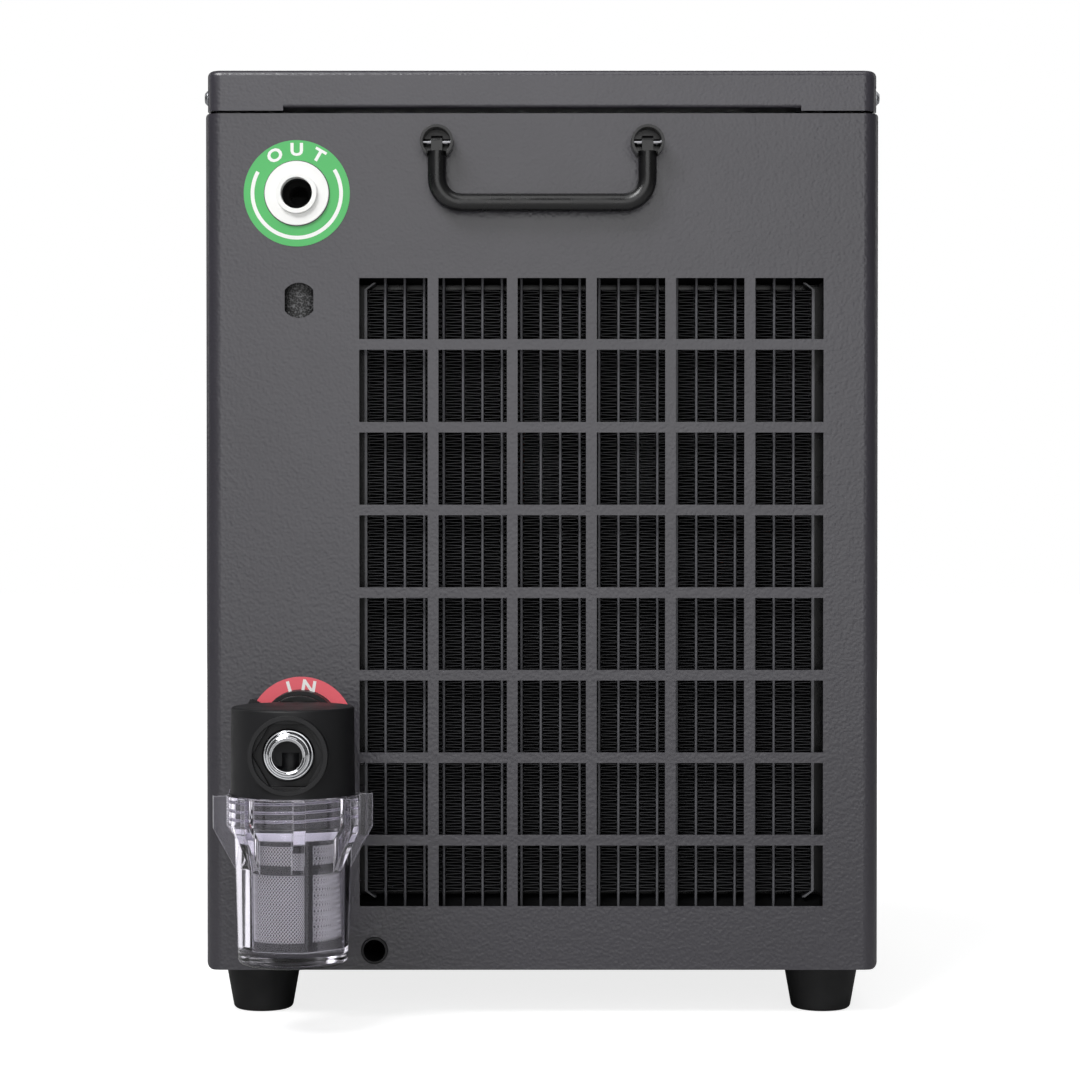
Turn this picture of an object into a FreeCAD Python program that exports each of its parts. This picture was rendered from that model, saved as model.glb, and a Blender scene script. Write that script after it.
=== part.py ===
"""Ice bath chiller: a free-standing water cooler in a powder coated steel cabinet.

Millimetres. X runs to the right across the front, Y runs back from the front, Z is up.
The feet stand on Z = 0, and the origin is the middle of the floor area that the whole chiller covers.
"""

import FreeCAD, Part
import math
import os

import Sketcher

# Driving dimensions

SIZES = {
    # Cabinet
    "cabinet_width": 340.0,
    "cabinet_depth": 420.0,
    "body_height": 432.0,
    "sheet_gauge": 1.2,
    "corner_bend": 8.0,
    "bottom_bend": 4.0,
    "top_bend": 2.0,
    "panel_return": 22.0,
    "panel_flange": 12.0,
    "seam_gap": 0.3,
    "hole_clearance": 0.25,
    # Lid
    "lid_gap": 1.5,
    "lid_height": 20.5,
    "lid_setback": 1.0,
    "lid_edge_radius": 3.0,
    "lid_fit": 0.3,
    "lid_fold_half_length": 130.5,
    "lid_fold_lift": 1.5,
    "lid_fold_width": 9.0,
    "lid_lip_height": 16.0,
    "lid_screw_setback": 18.0,
    "lid_screw_drop": 12.0,
    "lid_screw_head_radius": 4.15,
    "lid_screw_head_height": 2.7,
    "lid_screw_radius": 2.0,
    "lid_screw_length": 5.0,
    # Feet and base
    "foot_height": 24.0,
    "foot_top_radius": 19.25,
    "foot_bottom_radius": 15.0,
    "foot_edge_radius": 2.5,
    "foot_recess_radius": 7.0,
    "foot_recess_depth": 8.0,
    "foot_inset_side": 26.4,
    "foot_inset_end": 30.0,
    "foot_flange": 48.0,
    "foot_screw_radius": 2.5,
    "foot_screw_head_radius": 5.5,
    "foot_screw_head_height": 3.0,
    "foot_screw_reach": 6.0,
    "pan_gauge": 1.5,
    "pan_height": 18.0,
    "pan_gap": 3.2,
    # Grille
    "grille_left": -92.2,
    "grille_bottom": 56.2,
    "grille_opening_width": 34.5,
    "grille_opening_height": 36.4,
    "grille_end_opening_height": 30.8,
    "grille_column_bar": 5.4,
    "grille_row_bar": 5.3,
    "grille_columns": 6,
    "grille_rows": 6,
    "louvre_width": 200.0,
    "louvre_height": 9.0,
    "louvre_pitch": 16.0,
    "louvre_rows": 12,
    "louvre_reach": 9.0,
    "louvre_lip": 2.0,
    # Drop handles
    "handle_pivot_height": 440.5,
    "handle_spacing": 105.4,
    "hub_radius": 8.3,
    "hub_bore_radius": 6.9,
    "hub_projection": 14.0,
    "hub_floor": 3.0,
    "handle_pin_radius": 1.5,
    "handle_pin_standoff": 8.0,
    "handle_pin_clearance": 0.05,
    "handle_bar_radius": 4.6,
    "handle_bar_drop": 30.2,
    "handle_bend_radius": 12.3,
    "handle_neck_width": 5.7,
    "handle_neck_radius": 3.2,
    "handle_neck_length": 4.5,
    "handle_notch_clearance": 0.35,
    "handle_screw_radius": 2.0,
    "handle_screw_head_height": 2.4,
    # Outlet
    "outlet_x": -123.5,
    "outlet_height": 415.8,
    "outlet_bore_radius": 7.9,
    "outlet_thread_radius": 10.25,
    "outlet_flange_radius": 16.1,
    "outlet_flange_thickness": 1.6,
    "outlet_projection": 3.7,
    "outlet_tail": 12.0,
    "outlet_nut_flats": 27.0,
    "outlet_nut_height": 8.0,
    "label_radius": 26.7,
    "label_hole_radius": 16.6,
    "label_thickness": 0.3,
    # Insulation window
    "window_x": -122.5,
    "window_height": 362.0,
    "window_radius": 8.9,
    "window_flats": 14.5,
    # Drain
    "drain_x": -84.7,
    "drain_height": 34.0,
    "drain_bore_radius": 5.5,
    "drain_lip_radius": 6.75,
    "drain_neck_radius": 6.3,
    "drain_lip_projection": 2.2,
    "drain_sleeve_tail": 24.0,
    "drain_tube_start": 12.0,
    "drain_tube_wall": 0.8,
    "fitting_clearance": 0.1,
    # Inlet
    "inlet_x": -121.6,
    "inlet_height": 145.6,
    "inlet_disc_radius": 20.0,
    "inlet_disc_thickness": 8.0,
    "inlet_collar_radius": 18.3,
    "inlet_collar_length": 9.5,
    "inlet_thread_radius": 13.1,
    "inlet_bore_radius": 7.0,
    "inlet_nut_flats": 34.0,
    "inlet_nut_height": 9.0,
    "inlet_tab_reach": 29.5,
    "inlet_tab_width": 6.0,
    "inlet_tab_thickness": 3.0,
    "inlet_tab_angle": 152.0,
    "inlet_tab_round": 1.6,
    # Filter head
    "filter_standoff": 49.0,
    "filter_drop": 109.6,
    "head_drop": 27.1,
    "head_height": 42.5,
    "head_radius": 29.85,
    "head_draft": 0.35,
    "head_edge_radius": 1.2,
    "head_port_drop": 6.2,
    "head_boss_radius": 19.2,
    "head_boss_proud": 0.9,
    "head_recess_radius": 17.0,
    "head_recess_depth": 3.0,
    "head_hex_flats": 30.0,
    "head_hex_depth": 4.4,
    "head_rear_boss_radius": 15.5,
    "head_skirt_radius": 26.0,
    "head_skirt_bore": 22.5,
    "head_skirt_length": 14.5,
    "head_spigot_radius": 10.0,
    "head_spigot_length": 12.0,
    "head_passage_radius": 5.0,
    "head_passage_offset": 16.2,
    "connector_bore_radius": 7.4,
    "connector_base_radius": 12.7,
    "connector_step_radius": 10.6,
    "connector_nose_radius": 9.1,
    "connector_step_length": 2.2,
    "connector_thread_radius": 10.4,
    "connector_thread_length": 10.0,
    # Filter bowl
    "bowl_rim_gap": 0.3,
    "bowl_collar_radius": 32.5,
    "bowl_collar_length": 14.2,
    "bowl_shoulder_length": 6.0,
    "bowl_top_radius": 28.5,
    "bowl_bottom_radius": 26.8,
    "bowl_edge_radius": 3.0,
    "bowl_base_thickness": 8.0,
    "bowl_thread_clearance": 0.35,
    "bowl_hex_corner_radius": 25.2,
    "bowl_hex_round": 5.0,
    "bowl_hex_turn": 37.5,
    "bowl_rib_count": 8,
    "bowl_rib_radius": 38.8,
    "bowl_rib_width": 5.8,
    "bowl_rib_straight": 16.0,
    "bowl_rib_length": 40.0,
    "bowl_rib_turn": 9.5,
    "seal_height": 4.8,
    "seal_inner_radius": 21.6,
    "seal_gap": 0.3,
    # Strainer
    "strainer_radius": 19.3,
    "strainer_wall": 0.9,
    "strainer_band_height": 4.5,
    "strainer_drop": 46.6,
    "strainer_band_drop": 18.0,
    "strainer_cap_height": 2.0,
    "strainer_rib_width": 5.2,
    "strainer_rib_turn": 30.0,
    "strainer_rib_count": 3,
    "mesh_wall": 0.4,
    "mesh_gap": 0.05,
    # Condenser
    "condenser_left": -89.4,
    "condenser_setback": 9.0,
    "condenser_thickness": 16.0,
    "tube_pitch": 9.86,
    "tube_thickness": 1.3,
    "fin_columns": 23,
    "fin_folds": 30,
    "fin_bottom": 62.0,
    "fin_height": 307.0,
    "fin_thickness": 0.35,
    "fin_clearance": 0.03,
    "side_plate_hook": 4.0,
    "header_radius": 8.0,
    "header_overrun": 5.5,
    "header_reach": 10.0,
    # Fan and shroud
    "fan_x": 24.75,
    "fan_height": 214.0,
    "shroud_side_margin": 10.5,
    "shroud_top_margin": 14.0,
    "shroud_back": 60.0,
    "shroud_gauge": 1.5,
    "shroud_ring_radius": 112.0,
    "shroud_ring_length": 15.0,
    "fan_bracket_ring_radius": 34.0,
    "fan_bracket_hole_radius": 14.0,
    "fan_bracket_gap": 18.0,
    "fan_bracket_gauge": 2.0,
    "fan_bracket_arm_width": 14.0,
    "fan_motor_radius": 33.0,
    "fan_motor_length": 44.0,
    "fan_shaft_radius": 4.0,
    "fan_shaft_clearance": 0.06,
    "fan_hub_radius": 27.0,
    "fan_hub_length": 24.0,
    "fan_tip_radius": 102.0,
    "fan_blade_count": 7,
    "fan_root_chord": 26.0,
    "fan_tip_chord": 46.0,
    "fan_root_pitch": 48.0,
    "fan_tip_pitch": 24.0,
    "fan_blade_thickness": 2.2,
    # Compressor
    "compressor_x": 75.0,
    "compressor_setback": 285.0,
    "compressor_radius": 60.0,
    "compressor_height": 162.0,
    "compressor_foot_gauge": 3.0,
    "grommet_radius": 9.0,
    "grommet_height": 10.0,
    "accumulator_radius": 21.0,
    "accumulator_height": 120.0,
    "accumulator_offset": 85.0,
    "pipe_radius": 4.0,
    "pipe_wall": 0.8,
    "pipe_bend": 12.0,
    "discharge_lane_x": 163.0,
    "liquid_lane_x": 154.0,
    "dryer_setback": 215.0,
    "dryer_radius": 9.5,
    "dryer_length": 80.0,
    "dryer_bottom": 70.0,
    # Evaporator and pump
    "evaporator_wall_gap": 72.0,
    "evaporator_setback": 190.0,
    "evaporator_radius": 58.0,
    "evaporator_height": 296.0,
    "jacket_thickness": 9.7,
    "jacket_bottom": 46.0,
    "jacket_top": 314.0,
    "jacket_port_radius": 9.6,
    "return_port_height": 290.0,
    "hose_radius": 9.0,
    "hose_bore_radius": 6.5,
    "foam_radius": 20.5,
    "foam_bottom": 320.0,
    "foam_length": 78.0,
    "pump_setback": 62.0,
    "pump_height": 62.0,
    "pump_radius": 31.0,
    "pump_volute_length": 26.0,
    "pump_motor_radius": 28.0,
    "pump_motor_length": 28.0,
    "pump_stub_length": 16.0,
    "pump_foot_width": 40.0,
    # Controls on the back
    "control_height": 372.0,
    "control_width": 116.0,
    "control_bezel_height": 44.0,
    "control_bezel_thickness": 3.5,
    "control_plug_width": 104.0,
    "control_plug_height": 32.0,
    "control_plug_depth": 14.0,
    "control_plug_wall": 2.0,
    "control_corner_radius": 5.0,
    "display_x": -24.0,
    "display_width": 54.0,
    "display_height": 22.0,
    "display_depth": 1.6,
    "display_gap": 0.2,
    "button_first_x": 14.0,
    "button_pitch": 13.5,
    "button_radius": 5.0,
    "button_clearance": 0.15,
    "button_proud": 1.6,
    "button_flange_radius": 6.3,
    "button_flange_thickness": 1.5,
    "button_travel_gap": 0.3,
    # Power inlet on the back
    "power_x": 120.0,
    "power_height": 92.0,
    "power_flange_width": 34.0,
    "power_flange_height": 62.0,
    "power_flange_thickness": 3.0,
    "power_body_width": 28.0,
    "power_body_height": 52.0,
    "power_body_depth": 22.0,
    "socket_drop": 11.0,
    "socket_width": 24.0,
    "socket_height": 16.0,
    "socket_depth": 17.0,
    "socket_chamfer": 4.0,
    "pin_width": 2.0,
    "pin_tall": 4.0,
    "pin_length": 11.0,
    "pin_spacing": 7.0,
    "rocker_rise": 14.0,
    "rocker_width": 20.0,
    "rocker_height": 11.6,
    "rocker_clearance": 0.5,
    "rocker_well_depth": 12.0,
    "rocker_proud": 3.4,
    "rocker_inner": 4.0,
    "rocker_axis_depth": 1.5,
    # Elbows behind the panel
    "outlet_elbow_setback": 24.5,
    "outlet_elbow_reach": 26.0,
    "outlet_passage_radius": 5.0,
    "inlet_elbow_setback": 24.5,
    "inlet_elbow_reach": 30.0,
    "inlet_thread_length": 11.0,
    "inlet_tail_radius": 10.5,
    "spigot_wall": 1.6,
    "drain_tube_gap": 0.5,
    "head_boss_start": 14.0,
    "connector_nose_proud": 1.6,
    "seal_ledge_drop": 19.6,
    "strainer_neck_overlap": 8.0,
    "shroud_low_margin": 20.5,
    "fan_bracket_post_reach": 122.0,
    "fan_shaft_reach": 12.0,
    "fan_hub_setback": 0.0,
    "compressor_foot_half": 62.0,
    "grommet_bolt_radius": 3.0,
    "accumulator_level": 24.0,
    "evaporator_stub_reach": 84.0,
    "feed_port_height": 140.0,
    "hose_end_gap": 0.4,
    "hose_grip": 14.0,
    "hose_bend": 24.0,
    "suction_hose_bend": 16.0,
    "suction_rise": 34.0,
    "discharge_offset": 34.0,
    "discharge_bend": 10.0,
    "discharge_rise": 40.0,
    "liquid_pipe_radius": 3.0,
    "control_box_width": 112.0,
    "control_box_height": 60.0,
    "control_box_depth": 40.0,
    "rocker_axle_radius": 1.2,
    "rocker_axle_length": 22.4,
}

doc = FreeCAD.newDocument("IceBathChiller")
sheet = doc.addObject("Spreadsheet::Sheet", "Sizes")


# Sizes that keep their formula


class Size:
    """A number together with the sheet formula that gives it."""

    def __init__(self, value, formula):
        self.value = value
        self.formula = formula

    def __add__(self, other):
        other = as_size(other)
        return Size(self.value + other.value, f"({self.formula} + {other.formula})")

    def __sub__(self, other):
        other = as_size(other)
        return Size(self.value - other.value, f"({self.formula} - {other.formula})")

    def __mul__(self, other):
        other = as_size(other)
        return Size(self.value * other.value, f"({self.formula} * {other.formula})")

    def __truediv__(self, other):
        other = as_size(other)
        return Size(self.value / other.value, f"({self.formula} / {other.formula})")

    def __neg__(self):
        return Size(-self.value, f"(0 - {self.formula})")

    def __radd__(self, other):
        return as_size(other) + self

    def __rsub__(self, other):
        return as_size(other) - self

    def __rmul__(self, other):
        return as_size(other) * self


def as_size(number):
    """Give a plain number as a Size, and a Size as it is."""
    if isinstance(number, Size):
        return number
    return Size(number, repr(number))


def sine(angle):
    """Give the sine of an angle in degrees."""
    return Size(math.sin(math.radians(angle.value)), f"sin({angle.formula})")


def cosine(angle):
    """Give the cosine of an angle in degrees."""
    return Size(math.cos(math.radians(angle.value)), f"cos({angle.formula})")


class Dimensions:
    """The sheet's cells, each one an attribute under its alias."""


def fill_sheet():
    """Write the driving dimensions to the sheet and give them back by name."""
    cells = Dimensions()
    for row, (name, value) in enumerate(SIZES.items(), start=1):
        sheet.set(f"A{row}", name)
        sheet.set(f"B{row}", str(value))
        sheet.setAlias(f"B{row}", name)
        setattr(cells, name, Size(value, f"Sizes.{name}"))
    return cells


D = fill_sheet()
doc.recompute()

# Places that several pieces share

FILTER_REACH = D.filter_standoff + D.bowl_rib_radius
FRONT_Y = (FILTER_REACH - D.cabinet_depth - D.hub_projection) / 2
REAR_Y = FRONT_Y + D.cabinet_depth
MIDDLE_Y = FRONT_Y + D.cabinet_depth / 2
HALF_WIDTH = D.cabinet_width / 2
BODY_TOP = D.foot_height + D.body_height
LID_BOTTOM = BODY_TOP + D.lid_gap
LID_TOP = LID_BOTTOM + D.lid_height
PAN_UNDER = D.foot_height + D.sheet_gauge
PAN_FLOOR = PAN_UNDER + D.pan_gauge
HUB_X = D.handle_spacing / 2
FIN_TOP = D.fin_bottom + D.fin_height
CONDENSER_SPAN = D.tube_pitch * D.fin_columns
CONDENSER_BACK = D.condenser_setback + D.condenser_thickness
HEADER_SETBACK = D.condenser_setback + D.condenser_thickness / 2
BOTTOM_HEADER = D.fin_bottom - D.header_reach
TOP_HEADER = FIN_TOP + D.header_reach
HEADER_RIGHT = D.condenser_left + CONDENSER_SPAN + D.header_overrun
HOSE_SPIGOT = D.hose_bore_radius - D.fitting_clearance
FILTER_BOTTOM = D.inlet_height - D.filter_drop
HEAD_BOTTOM = D.inlet_height - D.head_drop
HEAD_PORT = D.inlet_height - D.head_port_drop
STRAINER_TOP = D.inlet_height - D.strainer_drop
SEAL_LEDGE = HEAD_BOTTOM - D.bowl_rim_gap - D.seal_ledge_drop
COMPRESSOR_BASE = PAN_FLOOR + D.grommet_height
EVAPORATOR_X = D.evaporator_wall_gap - HALF_WIDTH

PARTS = []

# Sketch and feature helpers


def bind(target, name, size):
    """Set a property from a size and tie it to the sheet."""
    size = as_size(size)
    setattr(target, name, size.value)
    if "Sizes." in size.formula:
        target.setExpression(name, size.formula)


def keep(part, label):
    """Name a finished sub-part and put it on the list that is exported."""
    part.Label = label
    PARTS.append(part)
    return part


def new_body(label):
    """Start a sub-part."""
    return keep(doc.addObject("PartDesign::Body", label), label)


def datum(body, role):
    """Find one of a body's own origin planes or axes."""
    for feature in body.Origin.OriginFeatures:
        if feature.Role == role:
            return feature
    raise LookupError(role)


def new_sketch(body, plane, offset=0):
    """Add a sketch on an origin plane, moved along the plane's normal.

    The normals are +Z for XY, -Y (to the front) for XZ and +X for YZ.
    """
    offset = as_size(offset)
    sketch = body.newObject("Sketcher::SketchObject", "Sketch")
    sketch.AttachmentSupport = [(datum(body, f"{plane}_Plane"), "")]
    sketch.MapMode = "FlatFace"
    sketch.AttachmentOffset = FreeCAD.Placement(
        FreeCAD.Vector(0, 0, offset.value), FreeCAD.Rotation()
    )
    if "Sizes." in offset.formula:
        sketch.setExpression("AttachmentOffset.Base.z", offset.formula)
    return sketch


def constrain(sketch, kind, *arguments):
    """Add a constraint whose last argument is a size."""
    size = as_size(arguments[-1])
    index = sketch.addConstraint(
        Sketcher.Constraint(kind, *arguments[:-1], float(size.value))
    )
    if "Sizes." in size.formula:
        sketch.setExpression(f"Constraints[{index}]", size.formula)


def pin_point(sketch, geometry, end, x, y):
    """Fix one point of a curve at a distance from the sketch's origin."""
    constrain(sketch, "DistanceX", -1, 1, geometry, end, x)
    constrain(sketch, "DistanceY", -1, 1, geometry, end, y)


def circle(sketch, x, y, radius):
    """Draw a circle."""
    x, y, radius = as_size(x), as_size(y), as_size(radius)
    centre = FreeCAD.Vector(x.value, y.value, 0)
    index = sketch.addGeometry(Part.Circle(centre, FreeCAD.Vector(0, 0, 1), radius.value), False)
    pin_point(sketch, index, 3, x, y)
    constrain(sketch, "Radius", index, radius)


def corner_arc(before, corner, after, radius):
    """Work out where a rounded corner starts, ends and has its centre."""
    to_before = (before - corner).normalize()
    to_after = (after - corner).normalize()
    half = math.acos(max(-1.0, min(1.0, to_before.dot(to_after)))) / 2
    reach = radius / math.tan(half)
    middle = (to_before + to_after).normalize()
    centre = corner + middle * (radius / math.sin(half))
    left_turn = to_before.cross(to_after).z < 0
    return corner + to_before * reach, corner + to_after * reach, centre, left_turn


def draw_path(sketch, corners, closed=True):
    """Draw straight edges through corners given as (x, y) or (x, y, radius)."""
    spots = [(as_size(c[0]), as_size(c[1])) for c in corners]
    radii = [as_size(c[2]) if len(c) > 2 else None for c in corners]
    points = [FreeCAD.Vector(x.value, y.value, 0) for x, y in spots]
    count = len(points)
    rounded = {}
    for i, radius in enumerate(radii):
        if radius is not None:
            rounded[i] = corner_arc(points[i - 1], points[i], points[(i + 1) % count], radius.value)
    edges = count if closed else count - 1
    lines = []
    for i in range(edges):
        j = (i + 1) % count
        start = rounded[i][1] if i in rounded else points[i]
        end = rounded[j][0] if j in rounded else points[j]
        lines.append(sketch.addGeometry(Part.LineSegment(start, end), False))
    for i in range(count):
        leaving = lines[i] if i < edges else None
        arriving = lines[i - 1] if i > 0 or closed else None
        if i in rounded:
            round_corner(sketch, arriving, leaving, spots[i], radii[i], rounded[i])
            continue
        if leaving is not None:
            pin_point(sketch, leaving, 1, *spots[i])
        else:
            pin_point(sketch, arriving, 2, *spots[i])
        if leaving is not None and arriving is not None:
            sketch.addConstraint(Sketcher.Constraint("Coincident", arriving, 2, leaving, 1))


def round_corner(sketch, arriving, leaving, spot, radius, place):
    """Join two lines with a tangent arc and hold the sharp corner behind it."""
    start, end, centre, left_turn = place
    corner = sketch.addGeometry(Part.Point(FreeCAD.Vector(spot[0].value, spot[1].value, 0)), True)
    pin_point(sketch, corner, 1, *spot)
    sketch.addConstraint(Sketcher.Constraint("PointOnObject", corner, 1, arriving))
    sketch.addConstraint(Sketcher.Constraint("PointOnObject", corner, 1, leaving))
    first, last = (start, end) if left_turn else (end, start)
    angles = [math.atan2(p.y - centre.y, p.x - centre.x) for p in (first, last)]
    ring = Part.Circle(centre, FreeCAD.Vector(0, 0, 1), radius.value)
    arc = sketch.addGeometry(Part.ArcOfCircle(ring, angles[0], angles[1]), False)
    near, far = (1, 2) if left_turn else (2, 1)
    sketch.addConstraint(Sketcher.Constraint("Tangent", arriving, 2, arc, near))
    sketch.addConstraint(Sketcher.Constraint("Tangent", arc, far, leaving, 1))
    constrain(sketch, "Radius", arc, radius)


def box_path(sketch, left, right, low, high, radius=None, top_radius=None):
    """Draw a rectangle, with rounded corners if a radius is given."""
    if radius is None:
        draw_path(sketch, [(left, low), (right, low), (right, high), (left, high)])
        return
    upper = radius if top_radius is None else top_radius
    draw_path(
        sketch,
        [(left, low, radius), (right, low, radius), (right, high, upper), (left, high, upper)],
    )


def hexagon(sketch, x, y, flats, turn=0, radius=None):
    """Draw a hexagon by its width across flats."""
    corner_radius = as_size(flats) * 0.5773502691896258
    corners = []
    for i in range(6):
        angle = as_size(turn) + 60.0 * i
        corner = [x + corner_radius * cosine(angle), y + corner_radius * sine(angle)]
        if radius is not None:
            corner.append(radius)
        corners.append(corner)
    draw_path(sketch, corners)


def pad(body, sketch, length, reverse=False, symmetric=False):
    """Raise a sketch along its normal."""
    feature = body.newObject("PartDesign::Pad", "Pad")
    feature.Profile = sketch
    feature.Reversed = reverse
    if symmetric:
        feature.SideType = "Symmetric"
    bind(feature, "Length", length)
    return feature


def pocket(body, sketch, length=None, reverse=False, symmetric=False):
    """Cut a sketch against its normal, right through if no length is given."""
    feature = body.newObject("PartDesign::Pocket", "Pocket")
    feature.Profile = sketch
    feature.Reversed = reverse
    if symmetric:
        feature.SideType = "Symmetric"
    if length is None:
        feature.Type = "ThroughAll"
    else:
        bind(feature, "Length", length)
    return feature


def revolve(body, sketch, axis="V_Axis"):
    """Turn a sketch about one of its own axes."""
    feature = body.newObject("PartDesign::Revolution", "Revolution")
    feature.Profile = sketch
    feature.ReferenceAxis = (sketch, [axis])
    feature.Angle = 360
    return feature


def turned(label, corners, along="Z"):
    """Make a sub-part by turning (radius, length) corners about Z or about Y."""
    body = new_body(label)
    sketch = new_sketch(body, "XZ" if along == "Z" else "XY")
    draw_path(sketch, corners)
    revolve(body, sketch)
    return body


def row_of(body, originals, axis, span, count, second=None):
    """Repeat features along an axis, and along a second one if (axis, span, count) is given."""
    feature = body.newObject("PartDesign::LinearPattern", "LinearPattern")
    feature.Originals = originals
    feature.Direction = (datum(body, f"{axis}_Axis"), [""])
    bind(feature, "Length", span)
    bind(feature, "Occurrences", count)
    if second is not None:
        feature.Direction2 = (datum(body, f"{second[0]}_Axis"), [""])
        bind(feature, "Length2", second[1])
        bind(feature, "Occurrences2", second[2])
    body.Tip = feature
    return feature


def ring_of(body, originals, axis, count):
    """Repeat features round an axis through the body's origin."""
    feature = body.newObject("PartDesign::PolarPattern", "PolarPattern")
    feature.Originals = originals
    feature.Axis = (datum(body, f"{axis}_Axis"), [""])
    feature.Angle = 360
    bind(feature, "Occurrences", count)
    body.Tip = feature
    return feature


def place(part, x, y, z, turn=0):
    """Put a sub-part's origin in its place, turned about Z in degrees."""
    spot = [as_size(x), as_size(y), as_size(z)]
    turn = as_size(turn)
    part.Placement = FreeCAD.Placement(
        FreeCAD.Vector(*[s.value for s in spot]),
        FreeCAD.Rotation(FreeCAD.Vector(0, 0, 1), turn.value),
    )
    for letter, size in zip("xyz", spot):
        if "Sizes." in size.formula:
            part.setExpression(f"Placement.Base.{letter}", size.formula)
    if "Sizes." in turn.formula:
        part.setExpression("Placement.Rotation.Angle", turn.formula)


# Sheet metal cabinet


def end_panel(label):
    """Make the front or back panel: a face with rounded corners, side returns and two flanges.

    The outer face lies on the body's XZ plane, and the returns run along +Y.
    """
    body = new_body(label)
    outer, inner = HALF_WIDTH, HALF_WIDTH - D.sheet_gauge
    inner_bend = D.corner_bend - D.sheet_gauge
    section = new_sketch(body, "XY", D.foot_height)
    draw_path(
        section,
        [
            (-outer, D.panel_return),
            (-outer, 0, D.corner_bend),
            (outer, 0, D.corner_bend),
            (outer, D.panel_return),
            (inner, D.panel_return),
            (inner, D.sheet_gauge, inner_bend),
            (-inner, D.sheet_gauge, inner_bend),
            (-inner, D.panel_return),
        ],
    )
    pad(body, section, D.body_height)
    edge = new_sketch(body, "XZ")
    margin = D.corner_bend
    box_path(edge, -outer - margin, outer + margin, D.foot_height - margin, BODY_TOP + margin)
    box_path(edge, -outer, outer, D.foot_height, BODY_TOP, D.bottom_bend, D.top_bend)
    pocket(body, edge)
    flange_half = HALF_WIDTH - D.corner_bend
    for level in (D.foot_height, BODY_TOP - D.sheet_gauge):
        flange = new_sketch(body, "XY", level)
        box_path(flange, -flange_half, flange_half, D.sheet_gauge / 2, D.panel_flange)
        pad(body, flange, D.sheet_gauge)
    handle_holes = new_sketch(body, "XZ")
    for side in (-1, 1):
        circle(
            handle_holes,
            side * HUB_X,
            D.handle_pivot_height,
            D.handle_screw_radius + D.hole_clearance,
        )
    pocket(body, handle_holes)
    return body


def lattice(body, left, low, columns, rows):
    """Cut a field of equal openings, given the low left corner of the first one."""
    opening = new_sketch(body, "XZ")
    box_path(opening, left, left + D.grille_opening_width, low, low + D.grille_opening_height)
    cut = pocket(body, opening, D.panel_return / 2)
    row_of(
        body,
        [cut],
        "X",
        (D.grille_opening_width + D.grille_column_bar) * (columns - 1),
        columns,
        ("Z", (D.grille_opening_height + D.grille_row_bar) * (rows - 1), rows),
    )


def double_d(sketch, x, y, radius, flats):
    """Draw a round opening with flats on the left and right."""
    half = (flats / 2).value
    rise = math.sqrt(radius.value**2 - half**2)
    centre = FreeCAD.Vector(x.value, y.value, 0)
    ring = Part.Circle(centre, FreeCAD.Vector(0, 0, 1), radius.value)
    lean = math.atan2(rise, half)
    top = sketch.addGeometry(Part.ArcOfCircle(ring, lean, math.pi - lean), False)
    bottom = sketch.addGeometry(Part.ArcOfCircle(ring, math.pi + lean, -lean), False)
    corners = []
    for a, b in ((-1, 1), (-1, -1), (1, -1), (1, 1)):
        corners.append(FreeCAD.Vector(half * a, rise * b, 0) + centre)
    left = sketch.addGeometry(Part.LineSegment(corners[0], corners[1]), False)
    right = sketch.addGeometry(Part.LineSegment(corners[2], corners[3]), False)
    for before, before_end, after, after_end in (
        (top, 2, left, 1),
        (left, 2, bottom, 1),
        (bottom, 2, right, 1),
        (right, 2, top, 1),
    ):
        sketch.addConstraint(
            Sketcher.Constraint("Coincident", before, before_end, after, after_end)
        )
    for arc in (top, bottom):
        pin_point(sketch, arc, 3, x, y)
        constrain(sketch, "Radius", arc, radius)
    for line, side in ((left, -1), (right, 1)):
        sketch.addConstraint(Sketcher.Constraint("Vertical", line))
        constrain(sketch, "DistanceX", -1, 1, line, 1, x + flats / 2 * side)


def build_front_panel():
    """Make the front panel with its grille and the openings for the water fittings."""
    body = end_panel("front_panel")
    column_pitch = D.grille_opening_width + D.grille_column_bar
    first_row = D.grille_bottom + D.grille_end_opening_height + D.grille_row_bar
    lattice(body, D.grille_left, first_row, D.grille_columns, D.grille_rows)
    last_row = first_row + (D.grille_opening_height + D.grille_row_bar) * D.grille_rows
    for low in (D.grille_bottom, last_row):
        opening = new_sketch(body, "XZ")
        box_path(
            opening,
            D.grille_left,
            D.grille_left + D.grille_opening_width,
            low,
            low + D.grille_end_opening_height,
        )
        cut = pocket(body, opening, D.panel_return / 2)
        row_of(body, [cut], "X", column_pitch * (D.grille_columns - 1), D.grille_columns)
    holes = new_sketch(body, "XZ")
    circle(holes, D.outlet_x, D.outlet_height, D.outlet_thread_radius + D.hole_clearance)
    circle(holes, D.inlet_x, D.inlet_height, D.inlet_thread_radius + D.hole_clearance)
    circle(holes, D.drain_x, D.drain_height, D.drain_neck_radius + D.fitting_clearance)
    double_d(holes, D.window_x, D.window_height, D.window_radius, D.window_flats)
    pocket(body, holes)
    place(body, 0, FRONT_Y, 0)


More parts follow.
